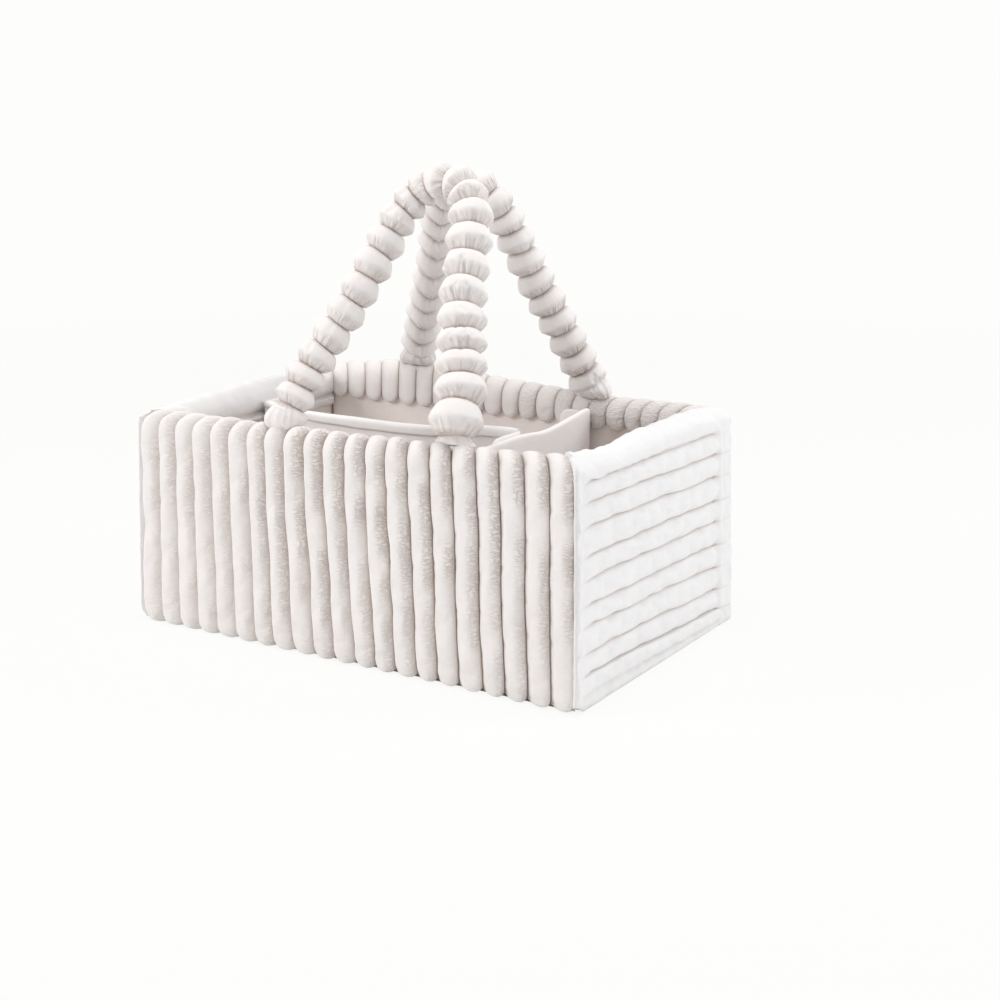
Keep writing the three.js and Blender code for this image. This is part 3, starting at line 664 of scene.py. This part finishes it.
for wall_name, end_side, end_label in ENDS:
    corner_binding(wall_name, end_side, end_label)

# %% [markdown]
# A handle is a sleeve of plush over a soft core, tied off every couple of centimetres, so that it
# swells into beads like a string of small cushions. The thread gathers the cloth at each neck, which
# leaves short creases that run out over the lower half of a bead. The sleeve is a grid rolled round
# the line of the arch; each neck is tilted by a small fixed amount, as a hand-tied one is.

# %% Line of an arch
HANDLES = {
    "front": {"span": 150, "rise": 195, "lean": 29.5, "centre": 15, "sway": 7, "foot": 34.5,
              "shares": [(1, 0), (0.94, 0.15), (0.8, 0.32), (0.65, 0.5), (0.52, 0.7), (0.46, 0.8),
                         (0.37, 0.9), (0.2, 0.98), (0, 1)]},
    "back": {"span": 169, "rise": 172, "lean": 23.5, "centre": 4, "sway": -10, "foot": 32,
             "shares": [(1, 0), (0.895, 0.15), (0.74, 0.34), (0.583, 0.53), (0.425, 0.75), (0.35, 0.85),
                        (0.25, 0.94), (0.13, 0.99), (0, 1)]},
}
CROWN_BEAD, FOOT_SEAT, SOLE_LIFT, TAB_WIDTH = 28, 12.7, 3.1, 26


def sole_of(name, side):
    """Middle of a handle's sole in its wall's own frame, side -1 or 1 along the wall's own x"""
    wall, handle = WALLS[name], HANDLES[name]
    x = handle["centre"] + side * handle["span"] / 2
    rim = max(rim_at(wall, x + edge * TAB_WIDTH / 2) for edge in (-1, 0, 1))
    return Vector((x, FOOT_SEAT + TAPER * (1 - FOOT_SEAT / wall["reach"]), rim + SOLE_LIFT))


def own_to_caddy(name, point):
    """From a wall's own upright frame, with y from its outer face, to the caddy's, with no lean"""
    return turned(WALLS[name], point.x, point.y - WALLS[name]["reach"], point.z)


class Arch:
    """The line of a handle from its foot at the wall's left to the one at its right"""

    def __init__(self, name):
        handle = HANDLES[name]
        tilt = radians(handle["lean"])
        soles = [sole_of(name, side) for side in (-1, 1)]
        points = []
        for out, up in [(-out, up) for out, up in handle["shares"]] + handle["shares"][-2::-1]:
            rise = up * handle["rise"]
            stands = Vector((handle["sway"] * up, rise * sin(tilt), rise * cos(tilt)))
            points.append(own_to_caddy(name, soles[0].lerp(soles[1], (out + 1) / 2) + stands))
        self.line = smooth_run(points, [24] * (len(points) - 1))
        self.reached = [0.0]
        for a, b in zip(self.line, self.line[1:]):
            self.reached.append(self.reached[-1] + (b - a).length)
        self.length = self.reached[-1]
        origin, away = (own_to_caddy(name, Vector(p)) for p in ((0, 0, 0), (0, cos(tilt), -sin(tilt))))
        self.normal = (away - origin).normalized()

    def at(self, reach):
        k, share = stretch_of(self.reached, reach)
        return self.line[k].lerp(self.line[k + 1], share)

    def frame(self, reach):
        """The middle of the sleeve there, and the direction across it in the plane of the arch"""
        tangent = (self.at(reach + 4) - self.at(reach - 4)).normalized()
        return self.at(reach), tangent.cross(self.normal).normalized()


ARCHES = {name: Arch(name) for name in HANDLES}
print("arches:", {name: round(arch.length) for name, arch in ARCHES.items()}, "mm long")

# %% Beaded sleeves
AROUND = 120
COARSE_BEAD = [0, 0.08, 0.23, 0.39, 0.52, 0.66, 0.84, 1]
UP_A_BEAD = [0, 0.03, 0.08, 0.15, 0.23, 0.31, 0.39, 0.46, 0.52, 0.58, 0.66, 0.75, 0.84, 0.91, 0.965]
SLEEVE_START, NECK_SHARE = 1.5, 0.58
BEAD_LENGTHS = {
    "front": [9.5, 16.5, 16.5, 18.5, 20.5, 20, 20.5, 20.5, 19.5, 17, 15, 13, 18.5, 16.5, 14, 18, 21, 21.5, 21,
              19, 17.5, 17.5, 21, 23.5],
    "back": [16.5, 17.5, 18, 18, 18, 18.5, 18.5, 17.5, 15.5, 16.5, 18, 18, 17.5, 15.5, 16, 18, 19.5, 19, 18,
             17.5, 17, 15, 7],
}


def beaded_sleeve(name):
    arch, lengths = ARCHES[name], BEAD_LENGTHS[name]
    seed = 3 if name == "front" else 61
    beads = len(lengths)
    room = (arch.length - 2 * SLEEVE_START) / sum(lengths)
    necks = [SLEEVE_START + room * sum(lengths[:k]) for k in range(beads + 1)]
    stations = [(bead, share) for bead in range(beads) for share in UP_A_BEAD] + [(beads - 1, 1.0)]

    def neck_tilt(neck, angle):
        if neck in (0, beads):
            return 0
        tilt = 1.5 * cos(angle - 6 * wobble(neck * 5.3, seed)) * (0.6 + wobble(neck * 3.9, seed + 1))
        is_left_back = name == "back" and neck > beads / 2
        return tilt + (4.2 * (0.5 - abs(sin(angle - 2.2))) if is_left_back else 0)

    def place(i, j):
        bead, share = stations[j]
        angle = 2 * pi * (i % AROUND) / AROUND
        reach = mix(necks[bead], necks[bead + 1], share)
        reach += mix(neck_tilt(bead, angle), neck_tilt(bead + 1, angle), share)
        middle, across = arch.frame(reach)
        along = (bead + 0.5) / beads
        crest = mix(CROWN_BEAD, HANDLES[name]["foot"], abs(2 * along - 1))
        crest *= 1 + 0.05 * wobble(bead * 4.7, seed + 4)
        crest *= within(lengths[bead] / 13, 0.62, 1)
        if name == "front":
            crest *= mix(mix(1, 0.9, 1 - 2 * along), 1.11, eased((along - 0.5) / 0.15))
        is_down = along > 0.5
        peak = (0.56 if is_down else 0.44) + 0.05 * wobble(bead * 2.9, angle, seed + 6)
        out = share / peak if share < peak else (1 - share) / (1 - peak)
        is_upper = (share < peak) == is_down
        dome = sqrt(max(1 - (1 - out) ** 2, 0))
        full = mix(dome, out, 0.36 if is_upper else 0.55)
        turn_share = 6 * angle / (2 * pi)
        gathers = cos(19 * angle + 7 * wobble(bead * 1.3, turn_share, seed))
        gathers *= 0.6 + wobble(bead * 2, turn_share, 4)
        gathers += 0.3 * cos(13 * angle + bead)
        # A random patch where the gathers are deeper. Through the crush it also paints shade on them.
        gathered_and_shaded = eased(0.75 + 1.5 * wobble(2 * cos(angle) + bead * 5, 2 * sin(angle), seed + 2))
        ruffle = 0.05 if is_upper else mix(0.12, 0.34, gathered_and_shaded)
        radius = mix(crest * NECK_SHARE, crest, full) / 2
        radius += ruffle * gathers * within(1 - out) ** 0.7 * within(out * 5)
        radius += 0.55 * wobble(2.2 * cos(angle), 2.2 * sin(angle), bead * 3.1)
        point = middle + (across * cos(angle) + arch.normal * sin(angle)) * radius
        # The necks are painted deeper as shade, and the crushed lower half gets painted shade along its
        # creases.
        lower = 0.0 if is_upper else eased((1 - out) * 2.2)
        return point, 0.75 * within(1 - out * 4.5), within(0.08 + lower * mix(0.35, 1, gathered_and_shaded))

    i_keys = range(0, AROUND + 1, 3)
    j_keys = [j for j, (_, share) in enumerate(stations) if share in COARSE_BEAD]
    place = blown_out(f"{name}_beaded_sleeve", i_keys, j_keys, place,
                      lambda i, j: stations[j][1] in (0, 1), slack=0.05, cap=2.0)
    piece = cloth(f"{name}_beaded_sleeve", AROUND, len(stations) - 1, place, is_closed=True)
    finished(piece, BEAD_PLUSH, f"{name}_handle", f"{name}_handle_sleeve")


for handle_name in HANDLES:
    beaded_sleeve(handle_name)

# %% [markdown]
# Each end of a handle is sewn down to a flat tab over the rim. The last of the sleeve is gathered
# there, wide along the wall, and its edge is tucked in behind the tops of the wales. It is stuffed
# like one more bead, except at the front's right end, where it is drawn in. It joins the moving handle
# to the fixed wall.

# %% Feet and tabs of the handles
# Half width along the wall and across it, how far the middle stands out, how far the edge bites into
# the rim, and how far it stands to the right
FOOT_FORMS = {
    "front_left": (13, 7, 5.6, 3.4, -4), "front_right": (17.5, 5, -2.6, 1, 0),
    "back_left": (15, 6, 4, 2.4, 0), "back_right": (13, 8, 4.8, 2.8, 4),
}
FOOT_REACH, FOOT_RADIUS, FOOT_INWARD = 9, 9.5, 2.6


def gathered_foot(name, side, label):
    arch = ARCHES[name]
    sole = own_to_caddy(name, sole_of(name, side))
    start = SLEEVE_START + FOOT_REACH
    middle, across = arch.frame(arch.length - start if side > 0 else start)
    seed = 7 * side + (2 if name == "front" else 19)
    around, rows = 96, 22
    half_long, half_deep, stuffed, bite, aside = FOOT_FORMS[f"{name}_{label}"]
    inward = FOOT_INWARD if name == "front" else -FOOT_INWARD

    def place(i, j):
        angle = 2 * pi * (i % around) / around
        share = j / rows
        top = middle + (across * cos(angle) + arch.normal * sin(angle)) * FOOT_RADIUS
        out = Vector((top.x - middle.x, top.y - middle.y, 0)).normalized()
        folds = 0.5 * cos(11 * angle + seed) + 0.3 * cos(17 * angle + 2 * seed)
        folds += 0.6 * wobble(angle * 2, seed)
        x, y = (half * copysign(abs(part) ** 0.85, part)
                for half, part in ((half_long, out.x), (half_deep, out.y)))
        low = sole + Vector((x + aside, y + inward, -SOLE_LIFT - bite))
        belly = sin(pi * within(share)) ** 0.75
        point = low.lerp(top, share) + out * (stuffed * belly + 0.4 * folds * belly)
        point.z += 0.5 * folds * (1 - share)
        # The top of the foot, under the first bead, is painted deeper as shade.
        return point, 0.7 * within((share - 0.85) * 7), within(0.25 + 0.6 * folds)

    piece = cloth(f"{name}_{label}_gathered_foot", around, rows, place, is_closed=True)
    finished(piece, BEAD_PLUSH, None, f"{name}_{label}_handle_foot")
    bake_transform(piece)


ROLL_SECTION = [(9.7, 0), (13.4, 0), (16.2, 0.7), (19, 2.2), (21.2, 4.4), (22.6, 7)]
TAB_SUNK, TAB_THICK = 5, 4.4


def sewn_tab(name, side, label):
    wall = WALLS[name]
    middle = sole_of(name, side).x
    columns = 24
    section = smooth_run([(d, -h) for d, h in ROLL_SECTION], [4] * (len(ROLL_SECTION) - 1))
    last = len(section) - 1
    under = [(k, 0.0) for k in range(last + 1)]
    upper = [(k, sqrt(max(1 - (2 * k / last - 1) ** 6, 0))) for k in range(last, -1, -1)]
    loop = [*under, *upper, under[0]]

    def place(i, j):
        k, thick = loop[i]
        across = 2 * j / columns - 1
        x = middle + across * (TAB_WIDTH / 2 + 1)
        raised = TAB_THICK * thick * sqrt(max(1 - abs(across) ** 2.4, 0))
        raised *= 1 - 0.14 * abs(wobble(i / 4, j / 5, 3))
        moved = section[k] + side_of(section, k) * (raised - TAB_SUNK)
        return on_wall(wall, x, moved.x, rim_at(wall, x) + moved.y), 0.0, 0.5

    piece = cloth(f"{name}_{label}_sewn_tab", len(loop) - 1, columns, place, is_closed=True)
    finished(piece, COVER_PLUSH, "caddy", f"{name}_{label}_handle_tab")


for handle_name, end_side, end_label in ENDS:
    gathered_foot(handle_name, end_side, end_label)
    sewn_tab(handle_name, end_side, end_label)

# %% [markdown]
# Inside, the walls and the floor are lined with a plain brushed cloth. It is held at its edges and
# only a little slack, so it shows soft shallow folds rather than wales, and it is pinker and darker
# than the plush.

# %% Lining finish
def brushed_cloth(name, pale, deep, weave=1.0):
    finish = Finish(name, Roughness=0.85, Sheen_Weight=0.15, Sheen_Roughness=0.5, Specular_IOR_Level=0.2)
    flat = finish.node("ShaderNodeUVMap", {"uv_map": "cloth"})
    seam_shade = finish.mark("seam_shade")
    nap, mottle = finish.specks(1100), finish.specks(30, detail=3.0)
    warp, weft = (finish.specks(900, detail=1.0, place=flat, stretch=stretch)
                  for stretch in ((1.0, 0.12, 1.0), (0.12, 1.0, 1.0)))
    height = nap * 0.4 + (warp + weft) * (0.5 * weave) + mottle * 0.6
    # The seam mark is painted shade. mottle and warp are the cloth's own uneven tone.
    shade = seam_shade * 0.8 + (0.5 - mottle) * 0.35 + (0.5 - warp) * 0.1
    return finish.closed(shade, pale, deep, height, strength=0.4, depth=0.0005)


LINING_CLOTH = brushed_cloth("lining_cloth", (0.93, 0.86, 0.82), (0.52, 0.39, 0.33))
DIVIDER_CLOTH = brushed_cloth("divider_cloth", (0.95, 0.915, 0.9), (0.66, 0.57, 0.52))
HEM_CLOTH = brushed_cloth("hem_cloth", (0.93, 0.915, 0.905), (0.7, 0.66, 0.64), weave=1.6)
UNDER_CLOTH = brushed_cloth("under_cloth", (0.8, 0.765, 0.75), (0.6, 0.54, 0.51), weave=1.4)


# %% Wall linings
LINING_FOOT, LINING_TOP, LINING_DEPTH = 5.2, 158.2, 18.2


def wall_lining(name, seed):
    wall = WALLS[name]
    inset, columns = (17.4, 120) if wall["span"] == LENGTH else (19.6, 76)
    half, rows = wall["span"] / 2 - inset, 50

    def place(i, j):
        side, up = 2 * i / columns - 1, j / rows
        slack = 0.55 * wobble(side * 3.2 + 0.5 * up, up * 1.4, seed)
        slack += 0.25 * wobble(side * 9, up * 3 + side, seed + 3)
        slack *= eased((1 - abs(side)) / 0.08) * eased(up / 0.1)
        point = on_wall(wall, side * half, LINING_DEPTH + slack, mix(LINING_FOOT, LINING_TOP, up))
        # Painted shade: deeper into the lining's corners and along its foot, and over the narrow compartment
        # right of the cross divider, where little light reaches.
        corner_shade = 0.55 * (1 - eased((1 - abs(side)) / 0.05)) + 0.35 * (1 - eased(up / 0.08))
        return point, within(corner_shade + 0.4 * eased((point.x - 90) / 20)), 0.0

    piece = cloth(f"{name}_wall_lining", columns, rows, place, thickness=0.5)
    flat = (2 * half * MM, (LINING_TOP - LINING_FOOT) * MM)
    finished(piece, LINING_CLOTH, "caddy", f"{name}_lining")


for lining_seed, wall_name in enumerate(WALLS, 1):
    wall_lining(wall_name, lining_seed)


# %% Floor lining and the cloth underneath
def floor_cloth(name, node, height, inset, ripple, finish):
    half_x, half_y = LENGTH / 2 - inset, DEPTH / 2 - inset
    columns, rows = 90, 56

    def place(i, j):
        x, y = 2 * i / columns - 1, 2 * j / rows - 1
        edge = eased((1 - max(abs(x), abs(y))) / 0.1)
        ripples = ripple * edge * (wobble(x * 4, y * 3, height) + 0.4 * wobble(x * 11, y * 8, height))
        # Painted shade, deeper towards the edges, where the walls stand.
        return Vector((x * half_x, y * half_y, height + ripples)), 0.4 * (1 - edge), 0.0

    piece = cloth(name, columns, rows, place, thickness=0.5)
    finished(piece, finish, "caddy", node)


floor_cloth("floor_lining", "base_lining", 9.75, 19.8, 0.25, LINING_CLOTH)
floor_cloth("under_cloth", "base_cloth", 0.75, 9.6, 0.15, UNDER_CLOTH)

# %% [markdown]
# A divider is a board in a cloth pocket. Each end of the pocket carries on past the board as a soft
# flap, folded square against its neighbour and held by a patch of hook tape. The pocket is drawn as
# one flat sleeve round a line seen from above, which turns the two corners of the folds.

# %% Divider covers
LONG_LEFT, LONG_RIGHT, CROSS_X, CROSS_END = -170.04, 80.15, 86, 95.37
LONG_SHARES = [(0, 0, 0.5), (0.12, 0.38, 0.05), (0.25, 0.7, 0), (0.4, 0.95, 0.1), (0.55, 1, 0.12),
               (0.7, 0.82, 0.3), (0.85, 0.45, 0.85), (1, 0, 1)]
CROSS_SHARES = [(-0.55, 0.37), (-0.1, 0.4), (0.25, -0.05), (0.5, 0.2), (0.73, 0.62)]
DIVIDER_FOOT, PANEL_HALF, FLAP_HALF = 10.4, 2.5, 1.25


def divider_cover(name, node, body, line, counts, rows=22):
    """line holds (x, y, top, half thickness) along the middle of the cloth, seen from above"""
    samples = smooth_run([p[:3] for p in line], counts)
    halves = [mix(line[k][3], line[k + 1][3], step / count)
              for k, count in enumerate(counts) for step in range(count)] + [line[-1][3]]
    columns = len(samples) - 1
    section = [(0, 0, 0), (0.85, 0, 0), (1, 0, 1.2)]
    section += [(1, up / rows, 0) for up in range(1, rows)]
    section += [(1, 1, -2.6), (0.9, 1, -1.1), (0.55, 1, -0.25), (0, 1, 0)]
    section += [(-a, b, c) for a, b, c in reversed(section[1:-1])] + [section[0]]

    def place(i, j):
        x, y, top = samples[j]
        side, up, lift = section[i]
        is_panel = halves[j] > 2
        height = mix(DIVIDER_FOOT, top, up) + lift
        puff = 0.35 * wobble(j / 11, height / 26, side * 2) * sin(pi * within(up)) * (side != 0)
        half = halves[j] + (puff if is_panel else 0.3 * puff)
        wave = 0 if is_panel else 0.35 * wobble(j / 9, up * 2, 4) * up
        # Painted shade, deeper at the foot of the pocket and at its ends.
        deep = 0.5 * (1 - eased(up / 0.06)) + 0.25 * (1 - eased(min(j, columns - j) / 3))
        return Vector((x, y, height)) + side_of(samples, j) * (side * half + wave), within(deep), 0.0

    piece = cloth(name, len(section) - 1, columns, place, is_closed=True)
    finished(piece, DIVIDER_CLOTH, body, node)


def of_half(half, *points):
    """Points of a divider's line, each with its half thickness"""
    return [(*point, half) for point in points]


# The long divider's panel, with its bow and its top edge, then its flaps at the left and right
panel = [(mix(LONG_LEFT, LONG_RIGHT, along), -bow * 8, 157 + rise * 7) for along, bow, rise in LONG_SHARES]
left_x, right_x = LONG_LEFT + FLAP_HALF, LONG_RIGHT - FLAP_HALF
long_path = [
    *of_half(FLAP_HALF, (left_x, 40, 153), (left_x, 38.6, 157), (left_x, 35, 159.7), (left_x, 31, 160.5),
             (left_x, 5, 160.5)),
    (left_x + 0.6, 1.2, 160.5, 1.5), (left_x + 3.6, 0, 160.4, 2.3),
    *of_half(PANEL_HALF, *panel[1:-1]),
    (right_x - 3.6, -0.2, 164, 2.3), (right_x - 0.6, -1.4, 164, 1.5),
    *of_half(FLAP_HALF, (right_x, -5, 164), (right_x, -31, 164), (right_x, -35, 163.2),
             (right_x, -38.6, 160.5), (right_x, -40, 156.5)),
]
divider_cover("long_divider_pocket", "long_divider_cover", "long_divider", long_path,
              [2, 2, 2, 10, 3, 3, 12, 14, 16, 16, 16, 16, 14, 3, 3, 10, 2, 2, 2])

front_tab, back_tab = 163.4, 163.5
tab_y = CROSS_END - FLAP_HALF
tab_edge = [(59.4, -7.5), (60.8, -3.5), (64.2, -0.8), (68, 0), (82, 0)]
cross_path = [
    *of_half(FLAP_HALF, *[(x, -tab_y, front_tab + drop) for x, drop in tab_edge]),
    (85.2, -tab_y + 0.8, front_tab, 1.6), (86, -tab_y + 3.8, front_tab, 2.3),
    *of_half(PANEL_HALF, *[(CROSS_X, out * CROSS_END, 161 + rise * 6) for out, rise in CROSS_SHARES]),
    (86, tab_y - 3.8, 166.6, 2.3), (85.2, tab_y - 0.8, 165.2, 1.6),
    *of_half(FLAP_HALF, *[(x, tab_y, back_tab + drop) for x, drop in reversed(tab_edge)]),
]
divider_cover("cross_divider_pocket", "cross_divider_cover", "cross_divider", cross_path,
              [2, 2, 2, 6, 3, 3, 14, 14, 12, 10, 10, 10, 3, 3, 6, 2, 2, 2])

# %% [markdown]
# The long divider's top edge is bound with a whiter strip of cloth, folded over it like a saddle and
# stitched through. It stands a hair proud of the pocket on both sides, and closes down at its ends.


# %% Hem of the long divider
HEM_ROOM, STITCHES = 2.9, 5


def divider_hem():
    run = [(LONG_LEFT + HEM_ROOM, *panel[0][1:]), *panel[1:-1], (LONG_RIGHT - HEM_ROOM, *panel[-1][1:])]
    samples = smooth_run(run, [12] * (len(run) - 1))
    columns = len(samples) - 1
    saddle = [(-1, -7), (-1, -STITCHES), (-1, -3.4), (-0.98, -1.6), (-0.8, -0.2), (-0.4, 0.4), (0, 0.5)]
    saddle += [(-a, b) for a, b in reversed(saddle[:-1])]

    def place(i, j):
        side, drop = saddle[i]
        stitched = 0.25 * (1 - abs(cos(pi * j / 1.5))) if abs(drop + STITCHES) < 0.6 else 0
        clear = eased(min(j, columns - j) / 3)
        half = mix(2.2, 3.15, clear) + 0.2 * wobble(j / 7, side * 3) - stitched
        drop *= 0.55 + 0.45 * eased(j / columns / 0.45)
        drop *= 1 + 0.12 * wobble(j / 10, 7)
        drop += mix(0.2, 0.8, clear)
        x, y, top = samples[j]
        point = Vector((x, y, top + drop)) + side_of(samples, j) * side * half
        # The hem's lower edge, below the stitching, is painted deeper as the shade under it.
        return point, 0.5 * (abs(drop) > 5.2), 0.0

    piece = cloth("long_divider_binding", len(saddle) - 1, columns, place, thickness=0.5)
    finished(piece, HEM_CLOTH, "long_divider", "long_divider_hem")


divider_hem()

# %% [markdown]
# The patches of hook and loop tape are cut with round corners and sewn on all round. Each starts as
# a flat plate whose corners are cut round, and its border is pressed down by the stitching. Fine
# rows of hooks show as a bump.

# %% Tape patches
def tape(name, pale, deep):
    finish = Finish(name, Roughness=0.6, Specular_IOR_Level=0.4)
    rows = finish.node("ShaderNodeTexWave", {"wave_type": "BANDS", "bands_direction": "Z"},
                       {"Vector": finish.place, "Scale": 260.0, "Distortion": 2.0, "Detail": 2.0})
    hooks = finish.specks(1500, detail=1.0)
    shade, height = rows * 0.5 + hooks * 0.4, rows * 0.6 + hooks
    return finish.closed(shade, pale, deep, height, strength=0.7, depth=0.0006)


HOOK_TAPE = tape("hook_tape", (0.86, 0.84, 0.82), (0.62, 0.59, 0.56))


def tape_patch(node, body):
    low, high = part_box(node)
    size = Vector(high) - Vector(low)
    middle = (Vector(high) + Vector(low)) / 2
    flat = min(range(3), key=lambda k: size[k])
    bm = bmesh.new()
    bmesh.ops.create_cube(bm, size=1)
    bmesh.ops.scale(bm, vec=size, verts=bm.verts)
    corners = [e for e in bm.edges if abs((e.verts[0].co - e.verts[1].co)[flat]) > size[flat] / 2]
    bmesh.ops.bevel(bm, geom=corners, offset=2.2 * MM, offset_type="OFFSET", affect="EDGES", segments=5,
                    profile=0.5, material=-1)
    faces = [f for f in bm.faces if abs(f.normal[flat]) > 0.9]
    for width, push in ((0.8 * MM, 0), (0.35 * MM, -0.2 * MM), (0.35 * MM, 0), (0.5 * MM, 0.2 * MM)):
        bmesh.ops.inset_region(bm, faces=faces, thickness=width, depth=push, use_even_offset=True)
    bmesh.ops.translate(bm, vec=middle, verts=bm.verts)
    piece = piece_from(bm, node.replace("hook_patch", "hook_tape").replace("loop_patch", "loop_tape"))
    finished(piece, HOOK_TAPE, body, node)


for patch_node, patch_body in (
    ("left_flap_hook_patch", "long_divider"), ("right_flap_hook_patch", "long_divider"),
    ("cross_divider_loop_patch", "cross_divider"), ("front_tab_hook_patch", "cross_divider"),
    ("back_tab_hook_patch", "cross_divider"),
):
    tape_patch(patch_node, patch_body)

# %% [markdown]
# What the cloth hides keeps its solid and gets a plain finish of its own: grey board for the walls,
# base and dividers, and lofted wadding for the padding, the foam and the cores of the handles.

# %% Board and wadding
def grey_board(name):
    finish = Finish(name, Roughness=0.9)
    fibres = finish.specks(400, detail=4.0, stretch=(1.0, 1.0, 0.3))
    flecks = finish.specks(1300, detail=1.0)
    shade, height = fibres * 0.8 + flecks * 0.3 - 0.2, fibres + flecks * 0.4
    return finish.closed(shade, (0.5, 0.44, 0.36), (0.36, 0.31, 0.25), height, strength=0.3, depth=0.0004)


def lofted_wadding(name):
    finish = Finish(name, Roughness=1.0, Sheen_Weight=0.1)
    loft = finish.specks(180, detail=5.0)
    return finish.closed(loft, (0.88, 0.87, 0.84), (0.74, 0.72, 0.68), loft, strength=0.6, depth=0.001)


GREY_BOARD, WADDING = grey_board("grey_board"), lofted_wadding("lofted_wadding")
hidden = {name: GREY_BOARD if name.endswith("_board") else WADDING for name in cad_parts
          if name.endswith(("_board", "_wadding", "_foam", "_core"))}
for name, material in hidden.items():
    for layer in bpy.data.objects[name].material_slots:
        layer.material = material
print("hidden layers:", len(hidden))

# %% [markdown]
# The caddy stands on a plain pale floor under soft studio light. A broad lamp at the front left
# models the wales, a cooler one at the back right lights the side wall, a third overhead lights the
# rims, and the pale world fills the rest. The floor and the world show the camera almost plain white,
# and the floor keeps a soft shadow.

# %% Floor and light
PLAIN_WHITE = (0.985, 0.985, 0.972, 1)
LAMP_AIM = Vector((0, 0, 0.1))


def studio_floor():
    bm = bmesh.new()
    bmesh.ops.create_circle(bm, cap_ends=True, radius=30, segments=96)
    floor = piece_from(bm, "floor")
    finish = Finish("pale_floor", Roughness=0.9)
    tone = finish.blend(finish.specks(40), (0.9, 0.9, 0.89), (0.93, 0.93, 0.92))
    finish.feed(finish.shader.inputs["Base Color"], tone)
    reach = finish.node("ShaderNodeVectorMath", {"operation": "LENGTH"}, {0: finish.place}, output="Value")
    far = finish.maths("MULTIPLY_ADD", reach, 0.9, -0.7, use_clamp=True)
    ground = Thread(finish, finish.shader.outputs["BSDF"])
    glow = finish.node("ShaderNodeEmission", {}, {"Color": PLAIN_WHITE, "Strength": 1.0})
    mixed = finish.node("ShaderNodeMixShader", {},
                        {0: finish.shown() * (far * 0.09 + 0.91), 1: ground, 2: glow})
    finish.feed(finish.tree.nodes["Material Output"].inputs["Surface"], mixed)
    floor.data.materials.append(finish.material)


def soft_lamp(name, place, size, power, colour):
    lamp = bpy.data.lights.new(name, "AREA")
    lamp.shape, lamp.size, lamp.energy, lamp.color = "DISK", size, power, colour
    lit = bpy.data.objects.new(name, lamp)
    lit.location = place
    lit.rotation_euler = (LAMP_AIM - Vector(place)).to_track_quat("-Z", "Y").to_euler()
    sc.collection.objects.link(lit)


studio_floor()
soft_lamp("front_left_lamp", (-1.35, -1.35, 1.15), 0.9, 16.0, (1, 0.985, 0.965))
soft_lamp("back_right_lamp", (1.5, 0.95, 1.05), 0.8, 12, (0.97, 0.985, 1))
soft_lamp("overhead_lamp", (0.1, -0.2, 1.9), 1.2, 13, (1, 0.985, 0.97))
sc.world = bpy.data.worlds.new("pale_room")
sc.world.use_nodes = True
room = Nodes(sc.world.node_tree)
lit = room.node("ShaderNodeBackground", {}, {"Color": (0.97, 0.975, 1, 1), "Strength": 0.54})
plain = room.node("ShaderNodeBackground", {}, {"Color": PLAIN_WHITE, "Strength": 1.0})
chosen = room.node("ShaderNodeMixShader", {}, {0: room.shown(), 1: lit, 2: plain})
room.feed(room.tree.nodes["World Output"].inputs["Surface"], chosen)
sc.view_settings.view_transform = "Standard"
